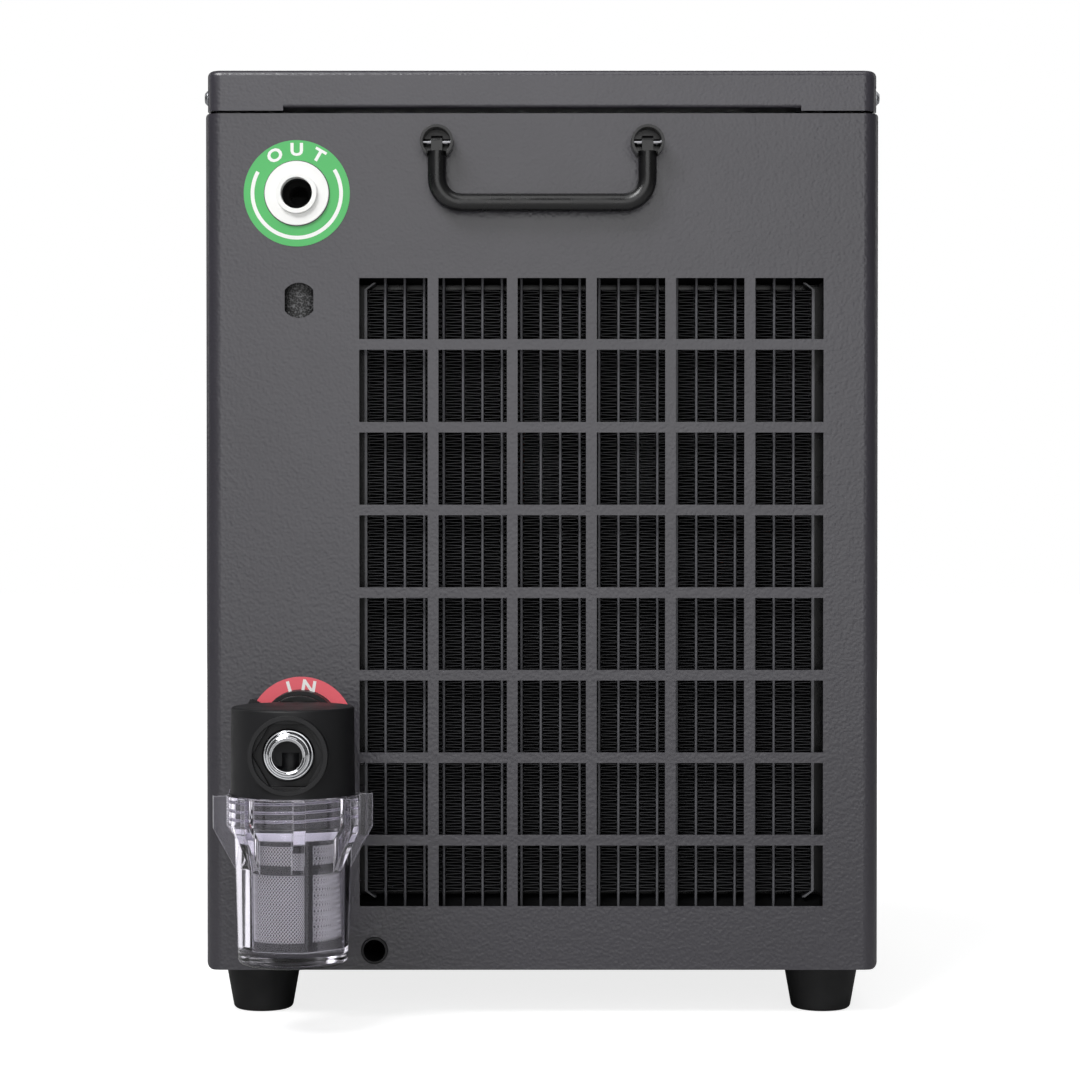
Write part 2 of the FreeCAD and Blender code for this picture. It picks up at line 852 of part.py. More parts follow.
def add_louvres(body):
    """Press a column of hooded slots into a panel, open at their lower edges."""
    low = D.fan_height - (D.louvre_pitch * (D.louvre_rows - 1) + D.louvre_height) / 2
    top = low + D.louvre_height
    hood = new_sketch(body, "YZ", -D.fan_x)
    draw_path(
        hood,
        [
            (0, top + D.sheet_gauge),
            (-D.louvre_reach, low),
            (-D.louvre_reach, low - D.louvre_lip),
            (0, low - D.louvre_lip),
        ],
    )
    shell = pad(body, hood, D.louvre_width + D.sheet_gauge * 2, symmetric=True)
    inside = new_sketch(body, "YZ", -D.fan_x)
    draw_path(
        inside,
        [
            (D.sheet_gauge, top),
            (0, top),
            (D.sheet_gauge - D.louvre_reach, low),
            (D.sheet_gauge - D.louvre_reach, low - D.louvre_lip),
            (0, low - D.louvre_lip),
            (0, low),
            (D.sheet_gauge, low),
        ],
    )
    slot = pocket(body, inside, D.louvre_width, symmetric=True)
    row_of(body, [shell, slot], "Z", D.louvre_pitch * (D.louvre_rows - 1), D.louvre_rows)


def build_rear_panel():
    """Make the back panel with the exhaust louvres and the openings for the controls."""
    body = end_panel("rear_panel")
    add_louvres(body)
    openings = new_sketch(body, "XZ")
    half = D.control_plug_width / 2 + D.hole_clearance
    rise = D.control_plug_height / 2 + D.hole_clearance
    box_path(openings, -half, half, D.control_height - rise, D.control_height + rise)
    half = D.power_body_width / 2 + D.hole_clearance
    rise = D.power_body_height / 2 + D.hole_clearance
    box_path(
        openings,
        D.power_x - half,
        D.power_x + half,
        D.power_height - rise,
        D.power_height + rise,
    )
    pocket(body, openings, D.panel_return / 2)
    place(body, 0, REAR_Y, 0, 180)


def build_side_panel(label, side):
    """Make one side: a wall with a folded bottom flange and a set-in lip for the lid."""
    body = new_body(label)
    wall = HALF_WIDTH - D.sheet_gauge
    lip = HALF_WIDTH - D.lid_setback - D.sheet_gauge - D.lid_fit
    section = new_sketch(body, "XZ")
    corners = [
        (HALF_WIDTH - D.foot_flange, D.foot_height),
        (HALF_WIDTH, D.foot_height, D.bottom_bend),
        (HALF_WIDTH, BODY_TOP),
        (lip, BODY_TOP),
        (lip, BODY_TOP + D.lid_lip_height),
        (lip - D.sheet_gauge, BODY_TOP + D.lid_lip_height),
        (lip - D.sheet_gauge, BODY_TOP - D.sheet_gauge),
        (wall, BODY_TOP - D.sheet_gauge),
        (wall, D.foot_height + D.sheet_gauge, D.bottom_bend - D.sheet_gauge),
        (HALF_WIDTH - D.foot_flange, D.foot_height + D.sheet_gauge),
    ]
    draw_path(section, [(corner[0] * side, *corner[1:]) for corner in corners])
    length = D.cabinet_depth - (D.panel_return + D.seam_gap) * 2
    pad(body, section, length, symmetric=True)
    foot_x = HALF_WIDTH - D.foot_inset_side
    foot_y = D.cabinet_depth / 2 - D.foot_inset_end
    foot_holes = new_sketch(body, "XY", D.foot_height + D.bottom_bend)
    for end in (-1, 1):
        circle(foot_holes, foot_x * side, foot_y * end, D.foot_screw_radius + D.hole_clearance)
    pocket(body, foot_holes)
    screw_holes = new_sketch(body, "YZ")
    screw_y = D.cabinet_depth / 2 - D.lid_screw_setback - D.lid_setback
    screw_z = LID_TOP - D.lid_screw_drop
    for end in (-1, 1):
        circle(screw_holes, screw_y * end, screw_z, D.lid_screw_radius)
    pocket(body, screw_holes, reverse=(side > 0))
    place(body, 0, MIDDLE_Y, 0)


def build_lid():
    """Make the lid: a shallow folded tray turned over, with its long edges folded in."""
    body = new_body("lid")
    half_x = HALF_WIDTH - D.lid_setback
    half_y = D.cabinet_depth / 2 - D.lid_setback
    corner = D.corner_bend - D.lid_setback
    plan = new_sketch(body, "XY", LID_BOTTOM)
    box_path(plan, -half_x, half_x, -half_y, half_y, corner)
    block = pad(body, plan, D.lid_height)
    doc.recompute()
    top = max(
        range(len(block.Shape.Faces)), key=lambda i: block.Shape.Faces[i].CenterOfMass.z
    )
    edge = body.newObject("PartDesign::Fillet", "Fillet")
    edge.Base = (block, [f"Face{top + 1}"])
    bind(edge, "Radius", D.lid_edge_radius)
    inside = new_sketch(body, "XY", LID_BOTTOM)
    gauge = D.sheet_gauge
    box_path(
        inside, -half_x + gauge, half_x - gauge, -half_y + gauge, half_y - gauge, corner - gauge
    )
    pocket(body, inside, D.lid_height - gauge, reverse=True)
    fold_low = LID_BOTTOM + D.lid_fold_lift
    fold_top = fold_low + gauge * 3
    relief = new_sketch(body, "XZ")
    box_path(
        relief, -D.lid_fold_half_length, D.lid_fold_half_length, LID_BOTTOM - gauge, fold_top
    )
    pocket(body, relief, D.cabinet_depth, symmetric=True)
    for end in (-1, 1):
        fold = new_sketch(body, "YZ")
        draw_path(
            fold,
            [
                (half_y * end, fold_top),
                (half_y * end, fold_low, gauge * 1.5),
                ((half_y - D.lid_fold_width) * end, fold_low),
                ((half_y - D.lid_fold_width) * end, fold_low + gauge),
                ((half_y - gauge) * end, fold_low + gauge, gauge / 2),
                ((half_y - gauge) * end, fold_top),
            ],
        )
        pad(body, fold, D.lid_fold_half_length * 2, symmetric=True)
    holes = new_sketch(body, "YZ")
    for end in (-1, 1):
        circle(
            holes,
            (D.cabinet_depth / 2 - D.lid_screw_setback - D.lid_setback) * end,
            LID_TOP - D.lid_screw_drop,
            D.lid_screw_radius + D.hole_clearance,
        )
    pocket(body, holes, D.cabinet_width, symmetric=True)
    place(body, 0, MIDDLE_Y, 0)


def build_lid_screws():
    """Make the four pan head screws that hold the lid from the sides."""
    body = new_body("lid_screws")
    seat = HALF_WIDTH - D.lid_setback
    tip = seat - D.lid_screw_length
    face = seat + D.lid_screw_head_height
    setback = D.cabinet_depth / 2 - D.lid_screw_setback - D.lid_setback
    screws = []
    for end in (-1, 1):
        axis = setback * end
        sketch = new_sketch(body, "XY", LID_TOP - D.lid_screw_drop)
        draw_path(
            sketch,
            [
                (tip, axis),
                (face, axis),
                (face, axis + D.lid_screw_head_radius * 0.6),
                (seat + D.lid_screw_head_height * 0.4, axis + D.lid_screw_head_radius),
                (seat, axis + D.lid_screw_head_radius),
                (seat, axis + D.lid_screw_radius),
                (tip, axis + D.lid_screw_radius),
            ],
        )
        feature = body.newObject("PartDesign::Revolution", "Revolution")
        feature.Profile = sketch
        feature.ReferenceAxis = (sketch, ["Edge1"])
        feature.Angle = 360
        screws.append(feature)
    ring_of(body, screws, "Z", 2)
    place(body, 0, MIDDLE_Y, 0)


# Feet and base


def build_feet():
    """Make the four rubber feet and the screws that hold them."""
    hole = D.foot_screw_radius + D.hole_clearance
    recess = D.foot_recess_depth
    foot_x = HALF_WIDTH - D.foot_inset_side
    foot_y = D.cabinet_depth / 2 - D.foot_inset_end
    for label, side, end in (
        ("foot_front_left", -1, -1),
        ("foot_front_right", 1, -1),
        ("foot_rear_left", -1, 1),
        ("foot_rear_right", 1, 1),
    ):
        foot = turned(
            label,
            [
                (hole, recess),
                (D.foot_recess_radius, recess),
                (D.foot_recess_radius, 0),
                (D.foot_bottom_radius, 0, D.foot_edge_radius),
                (D.foot_top_radius, D.foot_height),
                (hole, D.foot_height),
            ],
        )
        place(foot, foot_x * side, MIDDLE_Y + foot_y * end, 0)
    body = new_body("foot_screws")
    heads = new_sketch(body, "XY", recess)
    shanks = new_sketch(body, "XY", recess)
    for side in (-1, 1):
        for end in (-1, 1):
            circle(heads, foot_x * side, foot_y * end, D.foot_screw_head_radius)
            circle(shanks, foot_x * side, foot_y * end, D.foot_screw_radius)
    pad(body, heads, D.foot_screw_head_height, reverse=True)
    pad(body, shanks, PAN_FLOOR + D.foot_screw_reach - recess)
    place(body, 0, MIDDLE_Y, 0)


def build_base_pan():
    """Make the base pan that stands on the side flanges and carries the machinery."""
    body = new_body("base_pan")
    half = HALF_WIDTH - D.sheet_gauge - D.pan_gap
    inner = half - D.pan_gauge
    section = new_sketch(body, "XZ")
    draw_path(
        section,
        [
            (-half, PAN_UNDER),
            (half, PAN_UNDER),
            (half, PAN_UNDER + D.pan_height),
            (inner, PAN_UNDER + D.pan_height),
            (inner, PAN_FLOOR),
            (-inner, PAN_FLOOR),
            (-inner, PAN_UNDER + D.pan_height),
            (-half, PAN_UNDER + D.pan_height),
        ],
    )
    pad(body, section, D.cabinet_depth - (D.sheet_gauge + D.pan_gap) * 2, symmetric=True)
    holes = new_sketch(body, "XY", PAN_UNDER)
    foot_x = HALF_WIDTH - D.foot_inset_side
    foot_y = D.cabinet_depth / 2 - D.foot_inset_end
    for side in (-1, 1):
        for end in (-1, 1):
            circle(holes, foot_x * side, foot_y * end, D.foot_screw_radius + D.hole_clearance)
    pocket(body, holes, D.pan_gauge, reverse=True)
    place(body, 0, MIDDLE_Y, 0)


# Drop handles


def build_handle(hub_label, bar_label, y, turn):
    """Make a pair of slotted hubs and the drop bar that swings in them."""
    hubs = new_body(hub_label)
    level = D.handle_pivot_height
    posts = new_sketch(hubs, "XZ")
    bores = new_sketch(hubs, "XZ", D.hub_projection)
    notches = new_sketch(hubs, "XZ", D.hub_projection)
    rivets = new_sketch(hubs, "XZ")
    slot = D.handle_bar_radius + D.handle_notch_clearance
    for side in (-1, 1):
        x = HUB_X * side
        circle(posts, x, level, D.hub_radius)
        circle(bores, x, level, D.hub_bore_radius)
        box_path(notches, x - slot, x + slot, level - D.hub_radius * 1.5, level)
        circle(rivets, x, level, D.handle_screw_radius)
    pad(hubs, posts, D.hub_projection)
    pocket(hubs, bores, D.hub_projection - D.hub_floor)
    pocket(hubs, notches, D.hub_projection - D.hub_floor)
    pad(hubs, rivets, D.sheet_gauge + D.handle_screw_head_height, reverse=True)
    pin_holes = new_sketch(hubs, "YZ")
    circle(
        pin_holes,
        -D.handle_pin_standoff,
        level,
        D.handle_pin_radius + D.handle_pin_clearance,
    )
    pocket(hubs, pin_holes, D.cabinet_width, symmetric=True)
    place(hubs, 0, y, 0, turn)

    bar = new_body(bar_label)
    shoulder = level - D.handle_neck_length
    low = level - D.handle_bar_drop
    spine = new_sketch(bar, "XZ", D.handle_pin_standoff)
    draw_path(
        spine,
        [
            (HUB_X, shoulder),
            (HUB_X, low, D.handle_bend_radius),
            (-HUB_X, low, D.handle_bend_radius),
            (-HUB_X, shoulder),
        ],
        closed=False,
    )
    section = new_sketch(bar, "XY", shoulder)
    circle(section, HUB_X, -D.handle_pin_standoff, D.handle_bar_radius)
    grip = bar.newObject("PartDesign::AdditivePipe", "Pipe")
    grip.Profile = section
    grip.Spine = (spine, [])
    necks = []
    for side in (-1, 1):
        neck = new_sketch(bar, "YZ", HUB_X * side)
        box_path(
            neck,
            -D.handle_pin_standoff - D.handle_neck_radius,
            -D.handle_pin_standoff + D.handle_neck_radius,
            shoulder - 1,
            level + D.handle_neck_radius,
            0.8,
            D.handle_neck_radius * 0.95,
        )
        necks.append(pad(bar, neck, D.handle_neck_width, symmetric=True))
    eyes = new_sketch(bar, "YZ")
    circle(eyes, -D.handle_pin_standoff, level, D.handle_pin_radius + D.handle_pin_clearance)
    pocket(bar, eyes, D.cabinet_width, symmetric=True)
    place(bar, 0, y, 0, turn)


def build_handle_pins():
    """Make the steel pins across the hubs, two for each handle."""
    body = new_body("handle_pins")
    for side in (-1, 1):
        sketch = new_sketch(body, "YZ", HUB_X * side)
        for y in (FRONT_Y - D.handle_pin_standoff, REAR_Y + D.handle_pin_standoff):
            circle(sketch, y, D.handle_pivot_height, D.handle_pin_radius)
        pad(body, sketch, D.hub_radius * 2 - 0.6, symmetric=True)


# Water connections on the front


def add_elbow(body, setback, reach, outer, inner):
    """Add a downward hose spigot to a fitting that is turned about Y."""
    spigot = new_sketch(body, "XY")
    circle(spigot, 0, setback, outer)
    pad(body, spigot, reach, reverse=True)
    bore = new_sketch(body, "XY", -reach)
    circle(bore, 0, setback, inner)
    pocket(body, bore, reach, reverse=True)


def build_outlet():
    """Make the water outlet with its lock nut and the ring label round it."""
    reach = D.outlet_elbow_setback + D.outlet_thread_radius
    fitting = turned(
        "outlet_fitting",
        [
            (0, reach - 2),
            (0, reach),
            (D.outlet_thread_radius, reach),
            (D.outlet_thread_radius, 0),
            (D.outlet_flange_radius, 0),
            (D.outlet_flange_radius, -D.outlet_flange_thickness),
            (D.outlet_thread_radius, -D.outlet_flange_thickness),
            (D.outlet_thread_radius, -D.outlet_projection),
            (D.outlet_bore_radius, -D.outlet_projection),
            (D.outlet_bore_radius, D.outlet_tail),
            (D.outlet_passage_radius, D.outlet_tail),
            (D.outlet_passage_radius, reach - 2),
        ],
        along="Y",
    )
    add_elbow(
        fitting,
        D.outlet_elbow_setback,
        D.outlet_elbow_reach,
        HOSE_SPIGOT,
        HOSE_SPIGOT - D.spigot_wall,
    )
    place(fitting, D.outlet_x, FRONT_Y, D.outlet_height)
    nut = new_body("outlet_nut")
    build_nut(nut, D.outlet_nut_flats, D.outlet_thread_radius, D.outlet_nut_height)
    place(nut, D.outlet_x, FRONT_Y + D.sheet_gauge, D.outlet_height)
    build_label("outlet_label", D.label_hole_radius, D.outlet_x, D.outlet_height)


def build_nut(body, flats, thread_radius, height):
    """Make a lock nut that lies against the inside of the panel."""
    outline = new_sketch(body, "XZ")
    hexagon(outline, 0, 0, flats)
    circle(outline, 0, 0, thread_radius + D.fitting_clearance)
    pad(body, outline, height, reverse=True)


def build_label(label, hole_radius, x, z):
    """Make a thin printed ring on the front panel."""
    body = new_body(label)
    ring = new_sketch(body, "XZ")
    circle(ring, 0, 0, D.label_radius)
    circle(ring, 0, 0, hole_radius)
    pad(body, ring, D.label_thickness)
    place(body, x, FRONT_Y, z)


def build_inlet():
    """Make the water inlet that carries the filter: disc, collar, lock nut and ring label."""
    reach = D.inlet_elbow_setback + D.inlet_thread_radius * 0.8
    disc = D.inlet_disc_thickness
    fitting = turned(
        "inlet_fitting",
        [
            (0, reach - 2),
            (0, reach),
            (D.inlet_tail_radius, reach),
            (D.inlet_tail_radius, D.inlet_thread_length),
            (D.inlet_thread_radius, D.inlet_thread_length),
            (D.inlet_thread_radius, 0),
            (D.inlet_disc_radius, 0),
            (D.inlet_disc_radius, -disc),
            (D.inlet_bore_radius, -disc),
            (D.inlet_bore_radius, reach - 2),
        ],
        along="Y",
    )
    tab = new_sketch(fitting, "XZ", disc - D.inlet_tab_thickness)
    angle = D.inlet_tab_angle
    half = D.inlet_tab_width / 2
    corners = []
    for along, across, *rounding in (
        (D.inlet_disc_radius - 2, half),
        (D.inlet_tab_reach, half, D.inlet_tab_round),
        (D.inlet_tab_reach, -half, D.inlet_tab_round),
        (D.inlet_disc_radius - 2, -half),
    ):
        corners.append(
            (
                along * cosine(angle) - across * sine(angle),
                along * sine(angle) + across * cosine(angle),
                *rounding,
            )
        )
    draw_path(tab, corners)
    pad(fitting, tab, D.inlet_tab_thickness)
    add_elbow(
        fitting,
        D.inlet_elbow_setback,
        D.inlet_elbow_reach,
        HOSE_SPIGOT,
        HOSE_SPIGOT - D.spigot_wall,
    )
    place(fitting, D.inlet_x, FRONT_Y, D.inlet_height)
    collar = turned(
        "inlet_collar",
        [
            (D.inlet_bore_radius, -disc),
            (D.inlet_collar_radius, -disc),
            (D.inlet_collar_radius, -disc - D.inlet_collar_length),
            (D.inlet_bore_radius, -disc - D.inlet_collar_length),
        ],
        along="Y",
    )
    place(collar, D.inlet_x, FRONT_Y, D.inlet_height)
    nut = new_body("inlet_nut")
    build_nut(nut, D.inlet_nut_flats, D.inlet_thread_radius, D.inlet_nut_height)
    place(nut, D.inlet_x, FRONT_Y + D.sheet_gauge, D.inlet_height)
    hole = D.inlet_disc_radius + D.seam_gap
    build_label("inlet_label", hole, D.inlet_x, D.inlet_height)


def build_drain():
    """Make the drain sleeve in the panel and the tube behind it."""
    tube_bore = D.drain_neck_radius + D.fitting_clearance
    sleeve = turned(
        "drain_sleeve",
        [
            (D.drain_bore_radius, D.drain_sleeve_tail),
            (D.drain_bore_radius, -D.drain_lip_projection),
            (D.drain_lip_radius, -D.drain_lip_projection, 0.6),
            (D.drain_lip_radius, 0),
            (D.drain_neck_radius, 0),
            (D.drain_neck_radius, D.drain_sleeve_tail),
        ],
        along="Y",
    )
    place(sleeve, D.drain_x, FRONT_Y, D.drain_height)
    tube_end = D.evaporator_setback - D.evaporator_radius - D.drain_tube_gap
    tube = turned(
        "drain_tube",
        [
            (tube_bore, D.drain_tube_start),
            (tube_bore + D.drain_tube_wall, D.drain_tube_start),
            (tube_bore + D.drain_tube_wall, tube_end),
            (tube_bore, tube_end),
        ],
        along="Y",
    )
    place(tube, D.drain_x, FRONT_Y, D.drain_height)


# Water filter


def build_filter_head():
    """Make the filter head with its front and rear ports and the skirt inside the bowl."""
    bottom = HEAD_BOTTOM
    top = bottom + D.head_height
    skirt = bottom - D.head_skirt_length
    spigot = bottom - D.head_spigot_length
    ceiling = D.inlet_height + D.head_passage_radius
    head = turned(
        "filter_head",
        [
            (D.head_passage_radius, spigot),
            (D.head_spigot_radius, spigot),
            (D.head_spigot_radius, bottom),
            (D.head_skirt_bore, bottom),
            (D.head_skirt_bore, skirt),
            (D.head_skirt_radius, skirt),
            (D.head_skirt_radius, bottom),
            (D.head_radius + D.head_draft, bottom),
            (D.head_radius, top, D.head_edge_radius),
            (0, top),
            (0, ceiling),
            (D.head_passage_radius, ceiling),
        ],
    )
    face = D.head_radius + D.head_boss_proud
    rear = D.filter_standoff - D.inlet_disc_thickness - D.inlet_collar_length
    front_boss = new_sketch(head, "XZ", D.head_boss_start)
    circle(front_boss, 0, HEAD_PORT, D.head_boss_radius)
    pad(head, front_boss, face - D.head_boss_start)
    rear_boss = new_sketch(head, "XZ", -rear)
    circle(rear_boss, 0, D.inlet_height, D.head_rear_boss_radius)
    pad(head, rear_boss, rear - D.head_boss_start)
    recess = new_sketch(head, "XZ", face)
    circle(recess, 0, HEAD_PORT, D.head_recess_radius)
    pocket(head, recess, D.head_recess_depth)
    socket = new_sketch(head, "XZ", face - D.head_recess_depth)
    hexagon(socket, 0, HEAD_PORT, D.head_hex_flats)
    pocket(head, socket, D.head_hex_depth)
    floor = face - D.head_recess_depth - D.head_hex_depth
    thread = new_sketch(head, "XZ", floor)
    circle(thread, 0, HEAD_PORT, D.connector_thread_radius + D.fitting_clearance)
    pocket(head, thread, D.connector_thread_length)
    down = new_sketch(head, "XY", bottom)
    circle(down, 0, -D.head_passage_offset, D.head_passage_radius)
    pocket(head, down, HEAD_PORT - bottom, reverse=True)
    rear_bore = new_sketch(head, "XZ", -rear)
    circle(rear_bore, 0, D.inlet_height, D.inlet_bore_radius)
    pocket(head, rear_bore, rear, reverse=True)
    place(head, D.inlet_x, FRONT_Y - D.filter_standoff, 0)

    connector = turned(
        "filter_connector",
        [
            (D.connector_bore_radius, -floor + D.connector_thread_length),
            (D.connector_bore_radius, -face - D.connector_nose_proud),
            (D.connector_nose_radius, -face - D.connector_nose_proud, 0.8),
            (D.connector_nose_radius, -floor - D.connector_step_length * 2),
            (D.connector_step_radius, -floor - D.connector_step_length * 2),
            (D.connector_step_radius, -floor - D.connector_step_length),
            (D.connector_base_radius, -floor - D.connector_step_length, 0.6),
            (D.connector_base_radius, -floor),
            (D.connector_thread_radius, -floor),
            (D.connector_thread_radius, -floor + D.connector_thread_length),
        ],
        along="Y",
    )
    place(connector, D.inlet_x, FRONT_Y - D.filter_standoff, HEAD_PORT)


def build_filter_bowl():
    """Make the clear bowl with its threaded collar, eight grip ribs and six inner facets."""
    body = new_body("filter_bowl")
    rim = HEAD_BOTTOM - D.bowl_rim_gap
    collar = rim - D.bowl_collar_length
    shoulder = collar - D.bowl_shoulder_length
    thread = D.head_skirt_radius + D.bowl_thread_clearance
    profile = new_sketch(body, "XZ")
    draw_path(
        profile,
        [
            (0, FILTER_BOTTOM),
            (D.bowl_bottom_radius, FILTER_BOTTOM, D.bowl_edge_radius),
            (D.bowl_top_radius, shoulder),
            (D.bowl_collar_radius, collar),
            (D.bowl_collar_radius, rim),
            (thread, rim),
            (thread, SEAL_LEDGE),
            (0, SEAL_LEDGE),
        ],
    )
    revolve(body, profile)
    rib = new_sketch(body, "XZ")
    root = D.bowl_bottom_radius - 1
    draw_path(
        rib,
        [
            (root, rim),
            (D.bowl_rib_radius, rim),
            (D.bowl_rib_radius, rim - D.bowl_rib_straight),
            (root, rim - D.bowl_rib_length),
        ],
    )
    grip = pad(body, rib, D.bowl_rib_width, symmetric=True)
    ring_of(body, [grip], "Z", D.bowl_rib_count)
    mouth = new_sketch(body, "XY", rim)
    circle(mouth, 0, 0, thread)
    pocket(body, mouth, rim - SEAL_LEDGE)
    inside = new_sketch(body, "XY", SEAL_LEDGE)
    hexagon(
        inside,
        0,
        0,
        D.bowl_hex_corner_radius * 1.7320508075688772,
        D.bowl_hex_turn,
        D.bowl_hex_round,
    )
    pocket(body, inside, SEAL_LEDGE - FILTER_BOTTOM - D.bowl_base_thickness)
    place(body, D.inlet_x, FRONT_Y - D.filter_standoff, 0, D.bowl_rib_turn)

    seal = turned(
        "filter_seal",
        [
            (D.seal_inner_radius, SEAL_LEDGE),
            (thread - D.seal_gap, SEAL_LEDGE),
            (thread - D.seal_gap, SEAL_LEDGE + D.seal_height),
            (D.seal_inner_radius, SEAL_LEDGE + D.seal_height),
        ],
    )
    place(seal, D.inlet_x, FRONT_Y - D.filter_standoff, 0)


def build_strainer():
    """Make the strainer basket: a black frame with end rings, a band and ribs, and its mesh."""
    floor = FILTER_BOTTOM + D.bowl_base_thickness
    top = STRAINER_TOP
    outer = D.strainer_radius
    band = top - D.strainer_band_drop
    inner = outer - D.strainer_wall
    cap = D.strainer_cap_height
    neck_bore = D.head_spigot_radius + D.fitting_clearance
    neck_top = HEAD_BOTTOM - D.head_spigot_length + D.strainer_neck_overlap
    body = new_body("strainer_frame")
    profile = new_sketch(body, "XZ")
    draw_path(
        profile,
        [
            (0, floor),
            (outer, floor),
            (outer, floor + cap * 2),
            (inner, floor + cap * 2),
            (inner, floor + cap),
            (0, floor + cap),
        ],
    )
    draw_path(
        profile,
        [
            (inner, band),
            (outer, band),
            (outer, band + D.strainer_band_height),
            (inner, band + D.strainer_band_height),
        ],
    )
    draw_path(
        profile,
        [
            (inner, top - cap * 2),
            (outer, top - cap * 2),
            (outer, top),
            (neck_bore + cap, top),
            (neck_bore + cap, neck_top),
            (neck_bore, neck_top),
            (neck_bore, top - cap),
            (inner, top - cap),
        ],
    )
    revolve(body, profile)
    rib = new_sketch(body, "YZ", inner)
    half = D.strainer_rib_width / 2
    box_path(rib, -half, half, floor + cap, top - cap)
    upright = pad(body, rib, D.strainer_wall)
    ring_of(body, [upright], "Z", D.strainer_rib_count)
    turn = D.strainer_rib_turn - 90
    place(body, D.inlet_x, FRONT_Y - D.filter_standoff, 0, turn)
    mesh_outer = inner - D.mesh_gap
    mesh = turned(
        "strainer_mesh",
        [
            (mesh_outer - D.mesh_wall, floor + cap),
            (mesh_outer, floor + cap),
            (mesh_outer, top - cap),
            (mesh_outer - D.mesh_wall, top - cap),
        ],
    )
    place(mesh, D.inlet_x, FRONT_Y - D.filter_standoff, 0)


# Condenser


def build_condenser_core():
    """Make the brazed core: flat tubes between two side plates and two round headers."""
    body = new_body("condenser_core")
    tube = new_sketch(body, "XY", BOTTOM_HEADER)
    half = D.tube_thickness / 2
    first = D.condenser_left + D.tube_pitch
    box_path(tube, first - half, first + half, D.condenser_setback, CONDENSER_BACK)
    flat_tube = pad(body, tube, TOP_HEADER - BOTTOM_HEADER)
    row_of(
        body, [flat_tube], "X", D.tube_pitch * (D.fin_columns - 2), D.fin_columns - 1
    )
    for side in (-1, 1):
        edge = D.condenser_left if side < 0 else D.condenser_left + CONDENSER_SPAN
        plate = new_sketch(body, "XZ", -D.condenser_setback)
        draw_path(
            plate,
            [
                (edge - half, BOTTOM_HEADER),
                (edge + half, BOTTOM_HEADER),
                (edge + half, D.fin_bottom - 2),
                (edge + half - side * D.side_plate_hook, D.fin_bottom - 2),
                (edge + half - side * D.side_plate_hook, D.fin_bottom - 1),
                (edge + half, D.fin_bottom - 1),
                (edge + half, TOP_HEADER),
                (edge - half, TOP_HEADER),
            ]
            if side < 0
            else [
                (edge + half, BOTTOM_HEADER),
                (edge + half, TOP_HEADER),
                (edge - half, TOP_HEADER),
                (edge - half, D.fin_bottom - 1),
                (edge - half - D.side_plate_hook, D.fin_bottom - 1),
                (edge - half - D.side_plate_hook, D.fin_bottom - 2),
                (edge - half, D.fin_bottom - 2),
                (edge - half, BOTTOM_HEADER),
            ],
        )
        pad(body, plate, D.condenser_thickness, reverse=True)
    headers = new_sketch(body, "YZ", D.condenser_left - D.header_overrun)
    for level in (BOTTOM_HEADER, TOP_HEADER):
        circle(headers, HEADER_SETBACK, level, D.header_radius)
    pad(body, headers, CONDENSER_SPAN + D.header_overrun * 2)
    place(body, 0, FRONT_Y, 0)


def build_condenser_fins():
    """Make the folded fin ribbons, one in each space between two tubes.

    The folds are shown at a coarse pitch that stands for the fine one.
    """
    gap = D.tube_thickness.value / 2 + D.fin_clearance.value
    thickness = D.fin_thickness.value
    width = D.tube_pitch.value - gap * 2 - thickness
    rise = D.fin_height.value / D.fin_folds.value
    near, far = [], []
    for i in range(int(D.fin_folds.value) + 1):
        x = width * (i % 2)
        near.append(FreeCAD.Vector(x, 0, rise * i))
        far.append(FreeCAD.Vector(x + thickness, 0, rise * i))
    outline = near + far[::-1] + near[:1]
    depth = FreeCAD.Vector(0, D.condenser_thickness.value - 1, 0)
    ribbon = Part.Face(Part.makePolygon(outline)).extrude(depth)
    ribbons = []
    for column in range(int(D.fin_columns.value)):
        copy = ribbon.copy()
        copy.translate(FreeCAD.Vector(D.tube_pitch.value * column + gap, 0, 0))
        ribbons.append(copy)
    fins = keep(doc.addObject("Part::Feature", "condenser_fins"), "condenser_fins")
    fins.Shape = Part.makeCompound(ribbons)
    place(fins, D.condenser_left, FRONT_Y + D.condenser_setback + 0.5, D.fin_bottom)


# Fan


